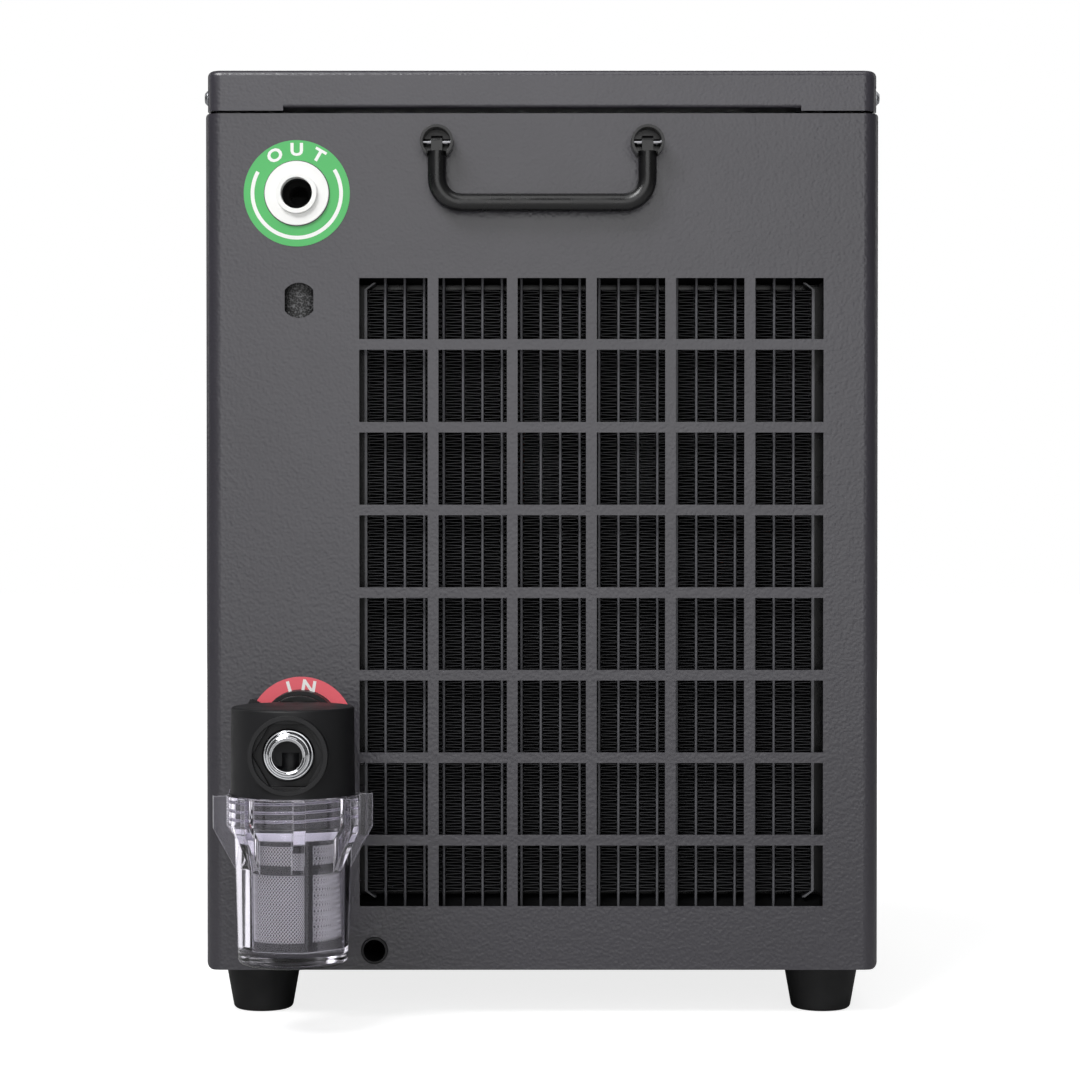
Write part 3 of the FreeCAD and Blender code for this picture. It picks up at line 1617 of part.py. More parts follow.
def build_fan_shroud():
    """Make the sheet shroud behind the condenser with its round fan opening and two legs."""
    body = new_body("fan_shroud")
    left = D.condenser_left - D.shroud_side_margin
    right = D.condenser_left + CONDENSER_SPAN + D.shroud_side_margin
    low = D.fin_bottom - D.shroud_low_margin
    high = TOP_HEADER + D.shroud_top_margin
    front = CONDENSER_BACK
    gauge = D.shroud_gauge
    depth = D.shroud_back - front
    block = new_sketch(body, "XZ", -front)
    box_path(block, left, right, low, high)
    pad(body, block, depth, reverse=True)
    cavity = new_sketch(body, "XZ", -front - gauge)
    box_path(cavity, left + gauge, right - gauge, low + gauge, high - gauge)
    pocket(body, cavity, depth - gauge * 2)
    window = new_sketch(body, "XZ", -front)
    box_path(
        window,
        D.condenser_left + D.tube_thickness,
        D.condenser_left + CONDENSER_SPAN - D.tube_thickness,
        D.fin_bottom,
        FIN_TOP,
    )
    pocket(body, window, gauge)
    ring = new_sketch(body, "XZ", -D.shroud_back)
    circle(ring, D.fan_x, D.fan_height, D.shroud_ring_radius + gauge)
    pad(body, ring, D.shroud_ring_length, reverse=True)
    opening = new_sketch(body, "XZ", -D.shroud_back + gauge)
    circle(opening, D.fan_x, D.fan_height, D.shroud_ring_radius)
    pocket(body, opening, D.shroud_ring_length + gauge)
    legs = new_sketch(body, "XY", PAN_FLOOR)
    box_path(legs, left, left + gauge, front, D.shroud_back)
    box_path(legs, right - gauge, right, front, D.shroud_back)
    pad(body, legs, low - PAN_FLOOR)
    place(body, 0, FRONT_Y, 0)


def build_fan_bracket():
    """Make the motor bracket: two strips with folded ends and a plate for the motor."""
    body = new_body("fan_motor_bracket")
    gap = D.fan_bracket_gap
    gauge = D.fan_bracket_gauge
    offset = D.fan_bracket_ring_radius - D.fan_bracket_arm_width / 2
    half = D.fan_bracket_arm_width / 2
    reach = D.fan_bracket_post_reach
    plate = new_sketch(body, "XZ", -gap)
    circle(plate, 0, 0, D.fan_bracket_ring_radius)
    pad(body, plate, gauge, reverse=True)
    strips = new_sketch(body, "XZ", -gap)
    posts = new_sketch(body, "XZ")
    for side in (-1, 1):
        x = offset * side
        box_path(strips, x - half, x + half, -reach, reach)
        box_path(posts, x - half, x + half, reach - gauge, reach)
        box_path(posts, x - half, x + half, -reach, gauge - reach)
    pad(body, strips, gauge, reverse=True)
    pad(body, posts, gap + gauge, reverse=True)
    hole = new_sketch(body, "XZ", -gap)
    circle(hole, 0, 0, D.fan_bracket_hole_radius)
    pocket(body, hole, gauge)
    place(body, D.fan_x, FRONT_Y + D.shroud_back, D.fan_height)


def build_fan():
    """Make the fan motor and the fan that turns on its shaft."""
    face = D.fan_bracket_gap + D.fan_bracket_gauge
    nose = D.fan_bracket_hole_radius - D.hole_clearance
    motor = turned(
        "fan_motor",
        [
            (0, -D.fan_shaft_reach),
            (D.fan_shaft_radius, -D.fan_shaft_reach),
            (D.fan_shaft_radius, D.fan_bracket_gap),
            (nose, D.fan_bracket_gap),
            (nose, face),
            (D.fan_motor_radius, face),
            (D.fan_motor_radius, face + D.fan_motor_length, 5),
            (0, face + D.fan_motor_length),
        ],
        along="Y",
    )
    place(motor, D.fan_x, FRONT_Y + D.shroud_back, D.fan_height)

    fan = new_body("fan_blades")
    half = D.fan_hub_length / 2
    hub = new_sketch(fan, "XY")
    draw_path(
        hub,
        [
            (D.fan_shaft_radius + D.fan_shaft_clearance, -half),
            (D.fan_hub_radius, -half, 4),
            (D.fan_hub_radius, half),
            (D.fan_shaft_radius + D.fan_shaft_clearance, half),
        ],
    )
    revolve(fan, hub)
    sections = []
    for level, chord, pitch in (
        (D.fan_hub_radius - 4, D.fan_root_chord, D.fan_root_pitch),
        (D.fan_tip_radius, D.fan_tip_chord, D.fan_tip_pitch),
    ):
        section = new_sketch(fan, "XY", level)
        along, across = chord / 2, D.fan_blade_thickness / 2
        corners = []
        for a, b in ((-1, -1), (1, -1), (1, 1), (-1, 1)):
            u, w = along * a, across * b
            corners.append((u * cosine(pitch) - w * sine(pitch), u * sine(pitch) + w * cosine(pitch)))
        draw_path(section, corners)
        sections.append(section)
    blade = fan.newObject("PartDesign::AdditiveLoft", "Loft")
    blade.Profile = sections[0]
    blade.Sections = [sections[1]]
    blade.Ruled = True
    ring_of(fan, [blade], "Y", D.fan_blade_count)
    place(fan, D.fan_x, FRONT_Y + D.shroud_back + D.fan_hub_setback, D.fan_height)


# Refrigeration machinery


def build_compressor():
    """Make the sealed compressor with its feet and accumulator, and the grommets below it."""
    body = new_body("compressor")
    foot = D.compressor_foot_gauge
    top = foot + D.compressor_height
    shell = new_sketch(body, "XZ")
    draw_path(
        shell,
        [
            (0, foot / 2),
            (D.compressor_radius, foot / 2, 10),
            (D.compressor_radius, top, 18),
            (0, top),
        ],
    )
    revolve(body, shell)
    plate = new_sketch(body, "XY")
    half = D.compressor_foot_half
    box_path(plate, -half, half, -half, half, 12)
    pad(body, plate, foot)
    bolt = half - D.grommet_radius
    holes = new_sketch(body, "XY")
    for a, b in ((-1, -1), (1, -1), (1, 1), (-1, 1)):
        circle(holes, bolt * a, bolt * b, D.grommet_bolt_radius)
    pocket(body, holes, foot, reverse=True)
    tank = new_sketch(body, "XZ")
    x = -D.accumulator_offset
    low = D.accumulator_level
    box_path(tank, x, x + D.accumulator_radius, low, low + D.accumulator_height)
    feature = body.newObject("PartDesign::Revolution", "Revolution")
    feature.Profile = tank
    feature.ReferenceAxis = (tank, ["Edge4"])
    feature.Angle = 360
    strap = new_sketch(body, "XY", low + D.accumulator_height / 2)
    box_path(strap, x, -D.compressor_radius / 2, -D.grommet_radius, D.grommet_radius)
    pad(body, strap, D.grommet_radius)
    place(body, D.compressor_x, FRONT_Y + D.compressor_setback, COMPRESSOR_BASE)

    grommets = new_body("compressor_grommets")
    rings = new_sketch(grommets, "XY", PAN_FLOOR)
    for a, b in ((-1, -1), (1, -1), (1, 1), (-1, 1)):
        circle(rings, bolt * a, bolt * b, D.grommet_radius)
        circle(rings, bolt * a, bolt * b, D.grommet_bolt_radius)
    pad(grommets, rings, D.grommet_height)
    place(grommets, D.compressor_x, FRONT_Y + D.compressor_setback, 0)


def bent_run(points, radius):
    """Make a wire of straight runs through points, joined by tangent arcs."""
    edges = []
    start = points[0]
    for before, corner, after in zip(points, points[1:], points[2:]):
        arc_start, arc_end, centre, _ = corner_arc(before, corner, after, radius)
        middle = centre + (corner - centre).normalize() * radius
        edges.append(Part.makeLine(start, arc_start))
        edges.append(Part.Arc(arc_start, middle, arc_end).toShape())
        start = arc_end
    edges.append(Part.makeLine(start, points[-1]))
    return Part.Wire(edges)


def swept(run, radius):
    """Sweep a circle along a wire."""
    first = run.Edges[0]
    start = first.valueAt(first.FirstParameter)
    direction = first.tangentAt(first.FirstParameter)
    ring = Part.Wire([Part.makeCircle(radius, start, direction)])
    return run.makePipeShell([ring], True, False)


def bent_tube(label, spots, bend, radius, bore):
    """Make a hose or a pipe through (x, setback, z) points."""
    points = [
        FreeCAD.Vector(as_size(x).value, as_size(y).value, as_size(z).value) for x, y, z in spots
    ]
    run = bent_run(points, as_size(bend).value)
    tube = keep(doc.addObject("Part::Feature", label), label)
    tube.Shape = swept(run, as_size(radius).value).cut(swept(run, as_size(bore).value))
    place(tube, 0, FRONT_Y, 0)
    return tube


def build_evaporator():
    """Make the cooling barrel with its water stubs, and the foam jacket round it."""
    body = new_body("evaporator_barrel")
    radius = D.evaporator_radius
    shell = new_sketch(body, "XZ")
    draw_path(
        shell,
        [
            (0, 0),
            (radius, 0),
            (radius, D.evaporator_height, 12),
            (0, D.evaporator_height),
        ],
    )
    revolve(body, shell)
    reach = D.evaporator_stub_reach
    stubs = new_sketch(body, "XZ", reach)
    for x, z in ((D.outlet_x, D.return_port_height), (D.inlet_x, D.feed_port_height)):
        circle(stubs, x - EVAPORATOR_X, z - PAN_FLOOR, HOSE_SPIGOT)
    circle(stubs, D.drain_x - EVAPORATOR_X, D.drain_height - PAN_FLOOR, D.drain_neck_radius)
    pad(body, stubs, reach - radius / 2, reverse=True)
    place(body, EVAPORATOR_X, FRONT_Y + D.evaporator_setback, PAN_FLOOR)

    jacket = turned(
        "evaporator_jacket",
        [
            (radius + D.seam_gap, D.jacket_bottom),
            (radius + D.jacket_thickness, D.jacket_bottom),
            (radius + D.jacket_thickness, D.jacket_top),
            (radius + D.seam_gap, D.jacket_top),
        ],
    )
    openings = new_sketch(jacket, "XZ", reach)
    for x, z in ((D.outlet_x, D.return_port_height), (D.inlet_x, D.feed_port_height)):
        circle(openings, x - EVAPORATOR_X, z, D.jacket_port_radius)
    pocket(jacket, openings, reach)
    place(jacket, EVAPORATOR_X, FRONT_Y + D.evaporator_setback, 0)


def build_pump():
    """Make the sealed circulation pump on its foot."""
    body = new_body("pump")
    volute = new_sketch(body, "XZ")
    circle(volute, 0, 0, D.pump_radius)
    pad(body, volute, D.pump_volute_length, reverse=True)
    motor = new_sketch(body, "XZ", -D.pump_volute_length)
    circle(motor, 0, 0, D.pump_motor_radius)
    pad(body, motor, D.pump_motor_length, reverse=True)
    suction = new_sketch(body, "XZ")
    circle(suction, 0, 0, HOSE_SPIGOT)
    pad(body, suction, D.pump_stub_length)
    delivery = new_sketch(body, "XY")
    circle(delivery, 0, D.pump_volute_length / 2, HOSE_SPIGOT)
    pad(body, delivery, D.pump_radius + D.pump_stub_length)
    foot = new_sketch(body, "XY", PAN_FLOOR - D.pump_height)
    half = D.pump_foot_width / 2
    box_path(foot, -half, half, 4, D.pump_volute_length + D.pump_motor_length - 4)
    pad(body, foot, D.pump_height - PAN_FLOOR - D.pump_radius / 2)
    place(body, D.inlet_x, FRONT_Y + D.pump_setback, D.pump_height)


def build_hoses():
    """Make the water hoses and the foam sleeve that is seen through the window."""
    setback = D.outlet_elbow_setback
    hose_top = D.outlet_height - D.outlet_thread_radius - D.hose_end_gap
    barrel_front = D.evaporator_setback - D.evaporator_stub_reach
    hose_end = barrel_front + D.hose_grip
    bent_tube(
        "outlet_hose",
        [
            (D.outlet_x, setback, hose_top),
            (D.outlet_x, setback, D.return_port_height),
            (D.outlet_x, hose_end, D.return_port_height),
        ],
        D.hose_bend,
        D.hose_radius,
        D.hose_bore_radius,
    )
    foam = turned(
        "outlet_foam",
        [
            (D.hose_radius + D.seam_gap, 0),
            (D.foam_radius, 0),
            (D.foam_radius, D.foam_length),
            (D.hose_radius + D.seam_gap, D.foam_length),
        ],
    )
    place(foam, D.outlet_x, FRONT_Y + setback, D.foam_bottom)
    setback = D.inlet_elbow_setback
    hose_top = D.inlet_height - D.inlet_thread_radius - D.hose_end_gap
    bent_tube(
        "suction_hose",
        [
            (D.inlet_x, setback, hose_top),
            (D.inlet_x, setback, D.pump_height),
            (D.inlet_x, D.pump_setback - D.hose_end_gap, D.pump_height),
        ],
        D.suction_hose_bend,
        D.hose_radius,
        D.hose_bore_radius,
    )
    pump_port = D.pump_setback + D.pump_volute_length / 2
    bent_tube(
        "feed_hose",
        [
            (D.inlet_x, pump_port, D.pump_height + D.pump_radius + D.hose_end_gap),
            (D.inlet_x, pump_port, D.feed_port_height),
            (D.inlet_x, hose_end, D.feed_port_height),
        ],
        D.suction_hose_bend,
        D.hose_radius,
        D.hose_bore_radius,
    )


def build_pipes():
    """Make the refrigerant pipes and the dryer in the liquid line."""
    bore = D.pipe_radius - D.pipe_wall
    lane = D.discharge_lane_x
    compressor_top = COMPRESSOR_BASE + D.compressor_foot_gauge + D.compressor_height
    stub_x = D.compressor_x + D.discharge_offset
    bent_tube(
        "discharge_pipe",
        [
            (stub_x, D.compressor_setback, compressor_top),
            (stub_x, D.compressor_setback, compressor_top + D.discharge_rise),
            (lane, D.compressor_setback, compressor_top + D.discharge_rise),
            (lane, HEADER_SETBACK, compressor_top + D.discharge_rise),
            (lane, HEADER_SETBACK, TOP_HEADER),
            (HEADER_RIGHT, HEADER_SETBACK, TOP_HEADER),
        ],
        D.discharge_bend,
        D.pipe_radius,
        bore,
    )
    barrel_top = PAN_FLOOR + D.evaporator_height
    tank_top = COMPRESSOR_BASE + D.accumulator_level + D.accumulator_height
    tank_x = D.compressor_x - D.accumulator_offset
    high = barrel_top + D.suction_rise
    bent_tube(
        "suction_pipe",
        [
            (EVAPORATOR_X - 20, D.evaporator_setback, barrel_top),
            (EVAPORATOR_X - 20, D.evaporator_setback, high),
            (tank_x, D.evaporator_setback, high),
            (tank_x, D.compressor_setback, high),
            (tank_x, D.compressor_setback, tank_top),
        ],
        D.pipe_bend,
        D.pipe_radius,
        bore,
    )
    lane = D.liquid_lane_x
    low = D.dryer_bottom
    dryer_top = low + D.dryer_length
    level = barrel_top + D.suction_rise / 2
    line = bent_tube(
        "liquid_line",
        [
            (HEADER_RIGHT, HEADER_SETBACK, BOTTOM_HEADER),
            (lane, HEADER_SETBACK, BOTTOM_HEADER),
            (lane, D.dryer_setback, BOTTOM_HEADER),
            (lane, D.dryer_setback, low + 1),
        ],
        D.discharge_bend * 0.5,
        D.liquid_pipe_radius,
        D.liquid_pipe_radius - D.pipe_wall,
    )
    points = [
        FreeCAD.Vector(lane.value, D.dryer_setback.value, dryer_top.value - 1),
        FreeCAD.Vector(lane.value, D.dryer_setback.value, level.value),
        FreeCAD.Vector(EVAPORATOR_X.value + 20, D.dryer_setback.value, level.value),
        FreeCAD.Vector(EVAPORATOR_X.value + 20, D.dryer_setback.value, barrel_top.value),
    ]
    capillary = swept(bent_run(points, D.pipe_bend.value), D.liquid_pipe_radius.value)
    dryer = Part.makeCylinder(
        D.dryer_radius.value,
        D.dryer_length.value,
        FreeCAD.Vector(lane.value, D.dryer_setback.value, low.value),
    )
    home = line.Placement
    line.Placement = FreeCAD.Placement()
    line.Shape = line.Shape.copy().fuse([dryer, capillary])
    line.Placement = home


# Controls on the back


def build_controls():
    """Make the control bezel with its display and buttons, and the closed box behind it."""
    bezel = new_body("control_bezel")
    half = D.control_width / 2
    rise = D.control_bezel_height / 2
    face = D.control_bezel_thickness
    plate = new_sketch(bezel, "XZ")
    box_path(plate, -half, half, -rise, rise, D.control_corner_radius)
    pad(bezel, plate, face)
    half = D.control_plug_width / 2
    rise = D.control_plug_height / 2
    plug = new_sketch(bezel, "XZ")
    box_path(plug, -half, half, -rise, rise)
    pad(bezel, plug, D.control_plug_depth, reverse=True)
    hollow = new_sketch(bezel, "XZ", -D.control_plug_depth)
    wall = D.control_plug_wall
    box_path(hollow, wall - half, half - wall, wall - rise, rise - wall)
    pocket(bezel, hollow, D.control_plug_depth, reverse=True)
    left = D.display_x - D.display_width / 2
    right = D.display_x + D.display_width / 2
    tall = D.display_height / 2
    gap = D.display_gap
    recess = new_sketch(bezel, "XZ", face)
    box_path(recess, left - gap, right + gap, -tall - gap, tall + gap)
    pocket(bezel, recess, D.display_depth)
    holes = new_sketch(bezel, "XZ", face)
    for i in range(3):
        x = D.button_first_x + D.button_pitch * i
        circle(holes, x, 0, D.button_radius + D.button_clearance)
    pocket(bezel, holes, face)
    place(bezel, 0, REAR_Y, D.control_height, 180)

    display = new_body("control_display")
    panel = new_sketch(display, "XZ", face - D.display_depth)
    box_path(panel, left, right, -tall, tall)
    pad(display, panel, D.display_depth)
    place(display, 0, REAR_Y, D.control_height, 180)

    for i, label in enumerate(("power_button", "down_button", "up_button")):
        button = turned(
            label,
            [
                (0, -face - D.button_proud),
                (D.button_radius, -face - D.button_proud, 0.8),
                (D.button_radius, D.button_travel_gap),
                (D.button_flange_radius, D.button_travel_gap),
                (D.button_flange_radius, D.button_travel_gap + D.button_flange_thickness),
                (0, D.button_travel_gap + D.button_flange_thickness),
            ],
            along="Y",
        )
        x = D.button_first_x + D.button_pitch * i
        place(button, -x, REAR_Y, D.control_height, 180)

    box = new_body("control_box")
    half = D.control_box_width / 2
    rise = D.control_box_height / 2
    shell = new_sketch(box, "XZ", -D.control_plug_depth)
    box_path(shell, -half, half, -rise, rise)
    pad(box, shell, D.control_box_depth, reverse=True)
    place(box, 0, REAR_Y, D.control_height, 180)


def build_power_inlet():
    """Make the power inlet: a moulded socket with three pins and a rocker switch above it."""
    body = new_body("power_inlet")
    face = D.power_flange_thickness
    half = D.power_flange_width / 2
    rise = D.power_flange_height / 2
    flange = new_sketch(body, "XZ")
    box_path(flange, -half, half, -rise, rise, 3)
    pad(body, flange, face)
    half = D.power_body_width / 2
    rise = D.power_body_height / 2
    housing = new_sketch(body, "XZ")
    box_path(housing, -half, half, -rise, rise)
    pad(body, housing, D.power_body_depth, reverse=True)
    half = D.socket_width / 2
    low = -D.socket_drop - D.socket_height / 2
    high = -D.socket_drop + D.socket_height / 2
    cut = D.socket_chamfer
    socket = new_sketch(body, "XZ", face)
    draw_path(
        socket,
        [
            (-half, low),
            (half, low),
            (half, high - cut),
            (half - cut, high),
            (cut - half, high),
            (-half, high - cut),
        ],
    )
    pocket(body, socket, D.socket_depth)
    gap = D.rocker_clearance
    well = new_sketch(body, "XZ", face)
    half = D.rocker_width / 2 + gap
    tall = D.rocker_height / 2 + gap
    box_path(well, -half, half, D.rocker_rise - tall, D.rocker_rise + tall)
    pocket(body, well, D.rocker_well_depth)
    axle = new_sketch(body, "YZ")
    axle_y = D.rocker_axis_depth - face
    circle(axle, axle_y, D.rocker_rise, D.rocker_axle_radius + D.handle_pin_clearance)
    pocket(body, axle, D.rocker_axle_length + D.seam_gap * 2, symmetric=True)
    place(body, -D.power_x, REAR_Y, D.power_height, 180)

    pins = new_body("power_pins")
    contact = new_sketch(pins, "XZ", face - D.socket_depth)
    wide = D.pin_width / 2
    tall = D.pin_tall / 2
    for x, z in ((-D.pin_spacing, -1.5), (D.pin_spacing * 0, 2), (D.pin_spacing, -1.5)):
        level = z - D.socket_drop
        box_path(contact, x - wide, x + wide, level - tall, level + tall)
    pad(pins, contact, D.pin_length)
    place(pins, -D.power_x, REAR_Y, D.power_height, 180)

    rocker = new_body("power_rocker")
    half = D.rocker_height / 2
    crest = D.rocker_axis_depth + D.rocker_proud
    section = new_sketch(rocker, "YZ")
    draw_path(
        section,
        [
            (-crest, -half, 0.6),
            (-crest + 1.8, 0, 12),
            (-crest, half, 0.6),
            (D.rocker_inner, half * 0.8),
            (D.rocker_inner, -half * 0.8),
        ],
    )
    pad(rocker, section, D.rocker_width, symmetric=True)
    axle = new_sketch(rocker, "YZ")
    circle(axle, 0, 0, D.rocker_axle_radius)
    pad(rocker, axle, D.rocker_axle_length, symmetric=True)
    place(
        rocker,
        -D.power_x,
        REAR_Y + face - D.rocker_axis_depth,
        D.power_height + D.rocker_rise,
        180,
    )


def build_all():
    """Build every sub-part in the order of assembly."""
    build_front_panel()
    build_rear_panel()
    build_side_panel("left_side_panel", -1)
    build_side_panel("right_side_panel", 1)
    build_base_pan()
    build_lid()
    build_lid_screws()
    build_feet()
    build_handle("front_handle_hubs", "front_handle_bar", FRONT_Y, 0)
    build_handle("rear_handle_hubs", "rear_handle_bar", REAR_Y, 180)
    build_handle_pins()
    build_outlet()
    build_inlet()
    build_drain()
    build_filter_head()
    build_filter_bowl()
    build_strainer()
    build_condenser_core()
    build_condenser_fins()
    build_fan_shroud()
    build_fan_bracket()
    build_fan()
    build_compressor()
    build_evaporator()
    build_pump()
    build_hoses()
    build_pipes()
    build_controls()
    build_power_inlet()


# Final check and export


def check_everything():
    """Stop if any feature failed or any shape is empty or broken."""
    doc.recompute()
    for item in doc.Objects:
        if "Invalid" in item.State or "Error" in item.State:
            raise RuntimeError(f"{item.Name} has not been built: {item.State}")
    for part in PARTS:
        if part.Shape.isNull() or not part.Shape.isValid() or not part.Shape.Solids:
            raise RuntimeError(f"{part.Label} has no valid solid")


build_all()
check_everything()
os.makedirs("parts", exist_ok=True)
for part in PARTS:
    part.Shape.exportStep(f"parts/{part.Label}.step")
    box = part.Shape.BoundBox
    print(
        f"{part.Label:22s} solids {len(part.Shape.Solids):3d}"
        f"  x {box.XMin:7.1f} {box.XMax:7.1f}"
        f"  y {box.YMin:7.1f} {box.YMax:7.1f}"
        f"  z {box.ZMin:6.1f} {box.ZMax:6.1f}"
    )
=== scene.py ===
"""Looks of the ice bath chiller: finishes, fine pieces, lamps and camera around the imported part."""

import logging
import math
from dataclasses import dataclass, field, replace
from enum import Enum
from typing import ClassVar, Iterable, Sequence

import bpy
from mathutils import Matrix, Vector


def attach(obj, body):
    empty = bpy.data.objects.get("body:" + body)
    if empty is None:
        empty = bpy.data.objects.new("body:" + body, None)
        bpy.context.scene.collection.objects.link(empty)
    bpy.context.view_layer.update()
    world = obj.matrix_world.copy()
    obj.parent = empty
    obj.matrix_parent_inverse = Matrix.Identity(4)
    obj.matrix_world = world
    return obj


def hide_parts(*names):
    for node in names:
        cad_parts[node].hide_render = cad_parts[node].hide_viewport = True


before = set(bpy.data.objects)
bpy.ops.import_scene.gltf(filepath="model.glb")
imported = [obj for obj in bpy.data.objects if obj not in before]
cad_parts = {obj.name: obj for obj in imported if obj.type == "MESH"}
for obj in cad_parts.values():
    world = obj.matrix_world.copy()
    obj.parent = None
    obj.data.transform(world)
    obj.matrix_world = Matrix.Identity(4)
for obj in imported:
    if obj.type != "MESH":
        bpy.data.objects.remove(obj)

Tree = bpy.types.NodeTree
Shader = bpy.types.Node
Socket = bpy.types.NodeSocket
Colour = tuple[float, float, float, float]
Inputs = dict[str | int, object]

log = logging.getLogger("chiller")

MM = 0.001
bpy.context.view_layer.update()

# Shared places, in millimetres

PANEL_Y = -173.1
CABINET_DEPTH = 420.0
FILTER_X = -121.6
FILTER_Y = PANEL_Y - 49.0
HEAD_PORT_Z = 139.4
OUTLET_X = -123.5
OUTLET_Z = 415.8
INLET_Z = 145.6


class Node(str, Enum):
    """Shader nodes by their Blender names."""

    COORDINATES = "ShaderNodeTexCoord"
    GEOMETRY = "ShaderNodeNewGeometry"
    LIGHT_PATH = "ShaderNodeLightPath"
    NOISE = "ShaderNodeTexNoise"
    VORONOI = "ShaderNodeTexVoronoi"
    RAMP = "ShaderNodeValToRGB"
    RANGE = "ShaderNodeMapRange"
    MATHS = "ShaderNodeMath"
    VECTOR_MATHS = "ShaderNodeVectorMath"
    SEPARATE = "ShaderNodeSeparateXYZ"
    BUMP = "ShaderNodeBump"
    BEVEL = "ShaderNodeBevel"
    DIFFUSE = "ShaderNodeBsdfDiffuse"
    EMISSION = "ShaderNodeEmission"
    BACKGROUND = "ShaderNodeBackground"
    ADD_SHADER = "ShaderNodeAddShader"
    MIX_SHADER = "ShaderNodeMixShader"
    MATERIAL_OUTPUT = "ShaderNodeOutputMaterial"
    WORLD_OUTPUT = "ShaderNodeOutputWorld"


def linear(hex_colour: str) -> Colour:
    """Turn an sRGB hex colour into the linear colour that shaders use.

    Args:
        hex_colour: The colour as six hex digits, such as "5e5d62".

    Returns:
        Red, green, blue and alpha.
    """
    channels = []
    for start in (0, 2, 4):
        value = int(hex_colour[start : start + 2], 16) / 255
        channels.append(value / 12.92 if value <= 0.04045 else ((value + 0.055) / 1.055) ** 2.4)
    return channels[0], channels[1], channels[2], 1.0


def add_node(
    tree: Tree,
    kind: Node,
    inputs: Inputs | None = None,
    stops: Sequence[tuple[float, Colour]] = (),
    **settings: object,
) -> bpy.types.Node:
    """Add a shader node with its settings, constants and links.

    Args:
        tree: The node tree to add to.
        kind: The kind of node.
        inputs: Constants, or output sockets to link, by input name or number.
        stops: Where the node is a colour ramp, the place and colour of its two stops.
        **settings: Properties of the node itself.

    Returns:
        The new node.
    """
    node = tree.nodes.new(kind.value)
    for name, value in settings.items():
        setattr(node, name, value)
    for name, value in (inputs or {}).items():
        socket = node.inputs[name]
        if isinstance(value, Socket):
            tree.links.new(value, socket)
        else:
            socket.default_value = value
    for number, (position, colour) in enumerate(stops):
        node.color_ramp.elements[number].position = position
        node.color_ramp.elements[number].color = colour
    return node


def span(value: Socket, low: float, high: float, first: float, last: float) -> Inputs:
    """Give the inputs of a range that turns low to high into first to last."""
    return {"Value": value, "From Min": low, "From Max": high, "To Min": first, "To Max": last}


# Finishes


@dataclass(frozen=True)
class Surface:
    """A material that is being made: its nodes, its shader, and where its patterns are read."""

    tree: Tree
    shader: Shader
    place: Socket

    def link(self, value: Socket, name: str) -> None:
        """Link a value to one of the shader's inputs."""
        self.tree.links.new(value, self.shader.inputs[name])

    def marks(self, size_mm: float, **others: float) -> Inputs:
        """Give the inputs of a pattern whose marks have a real size in millimetres."""
        return {"Vector": self.place, "Scale": 1 / (size_mm * MM), **others}


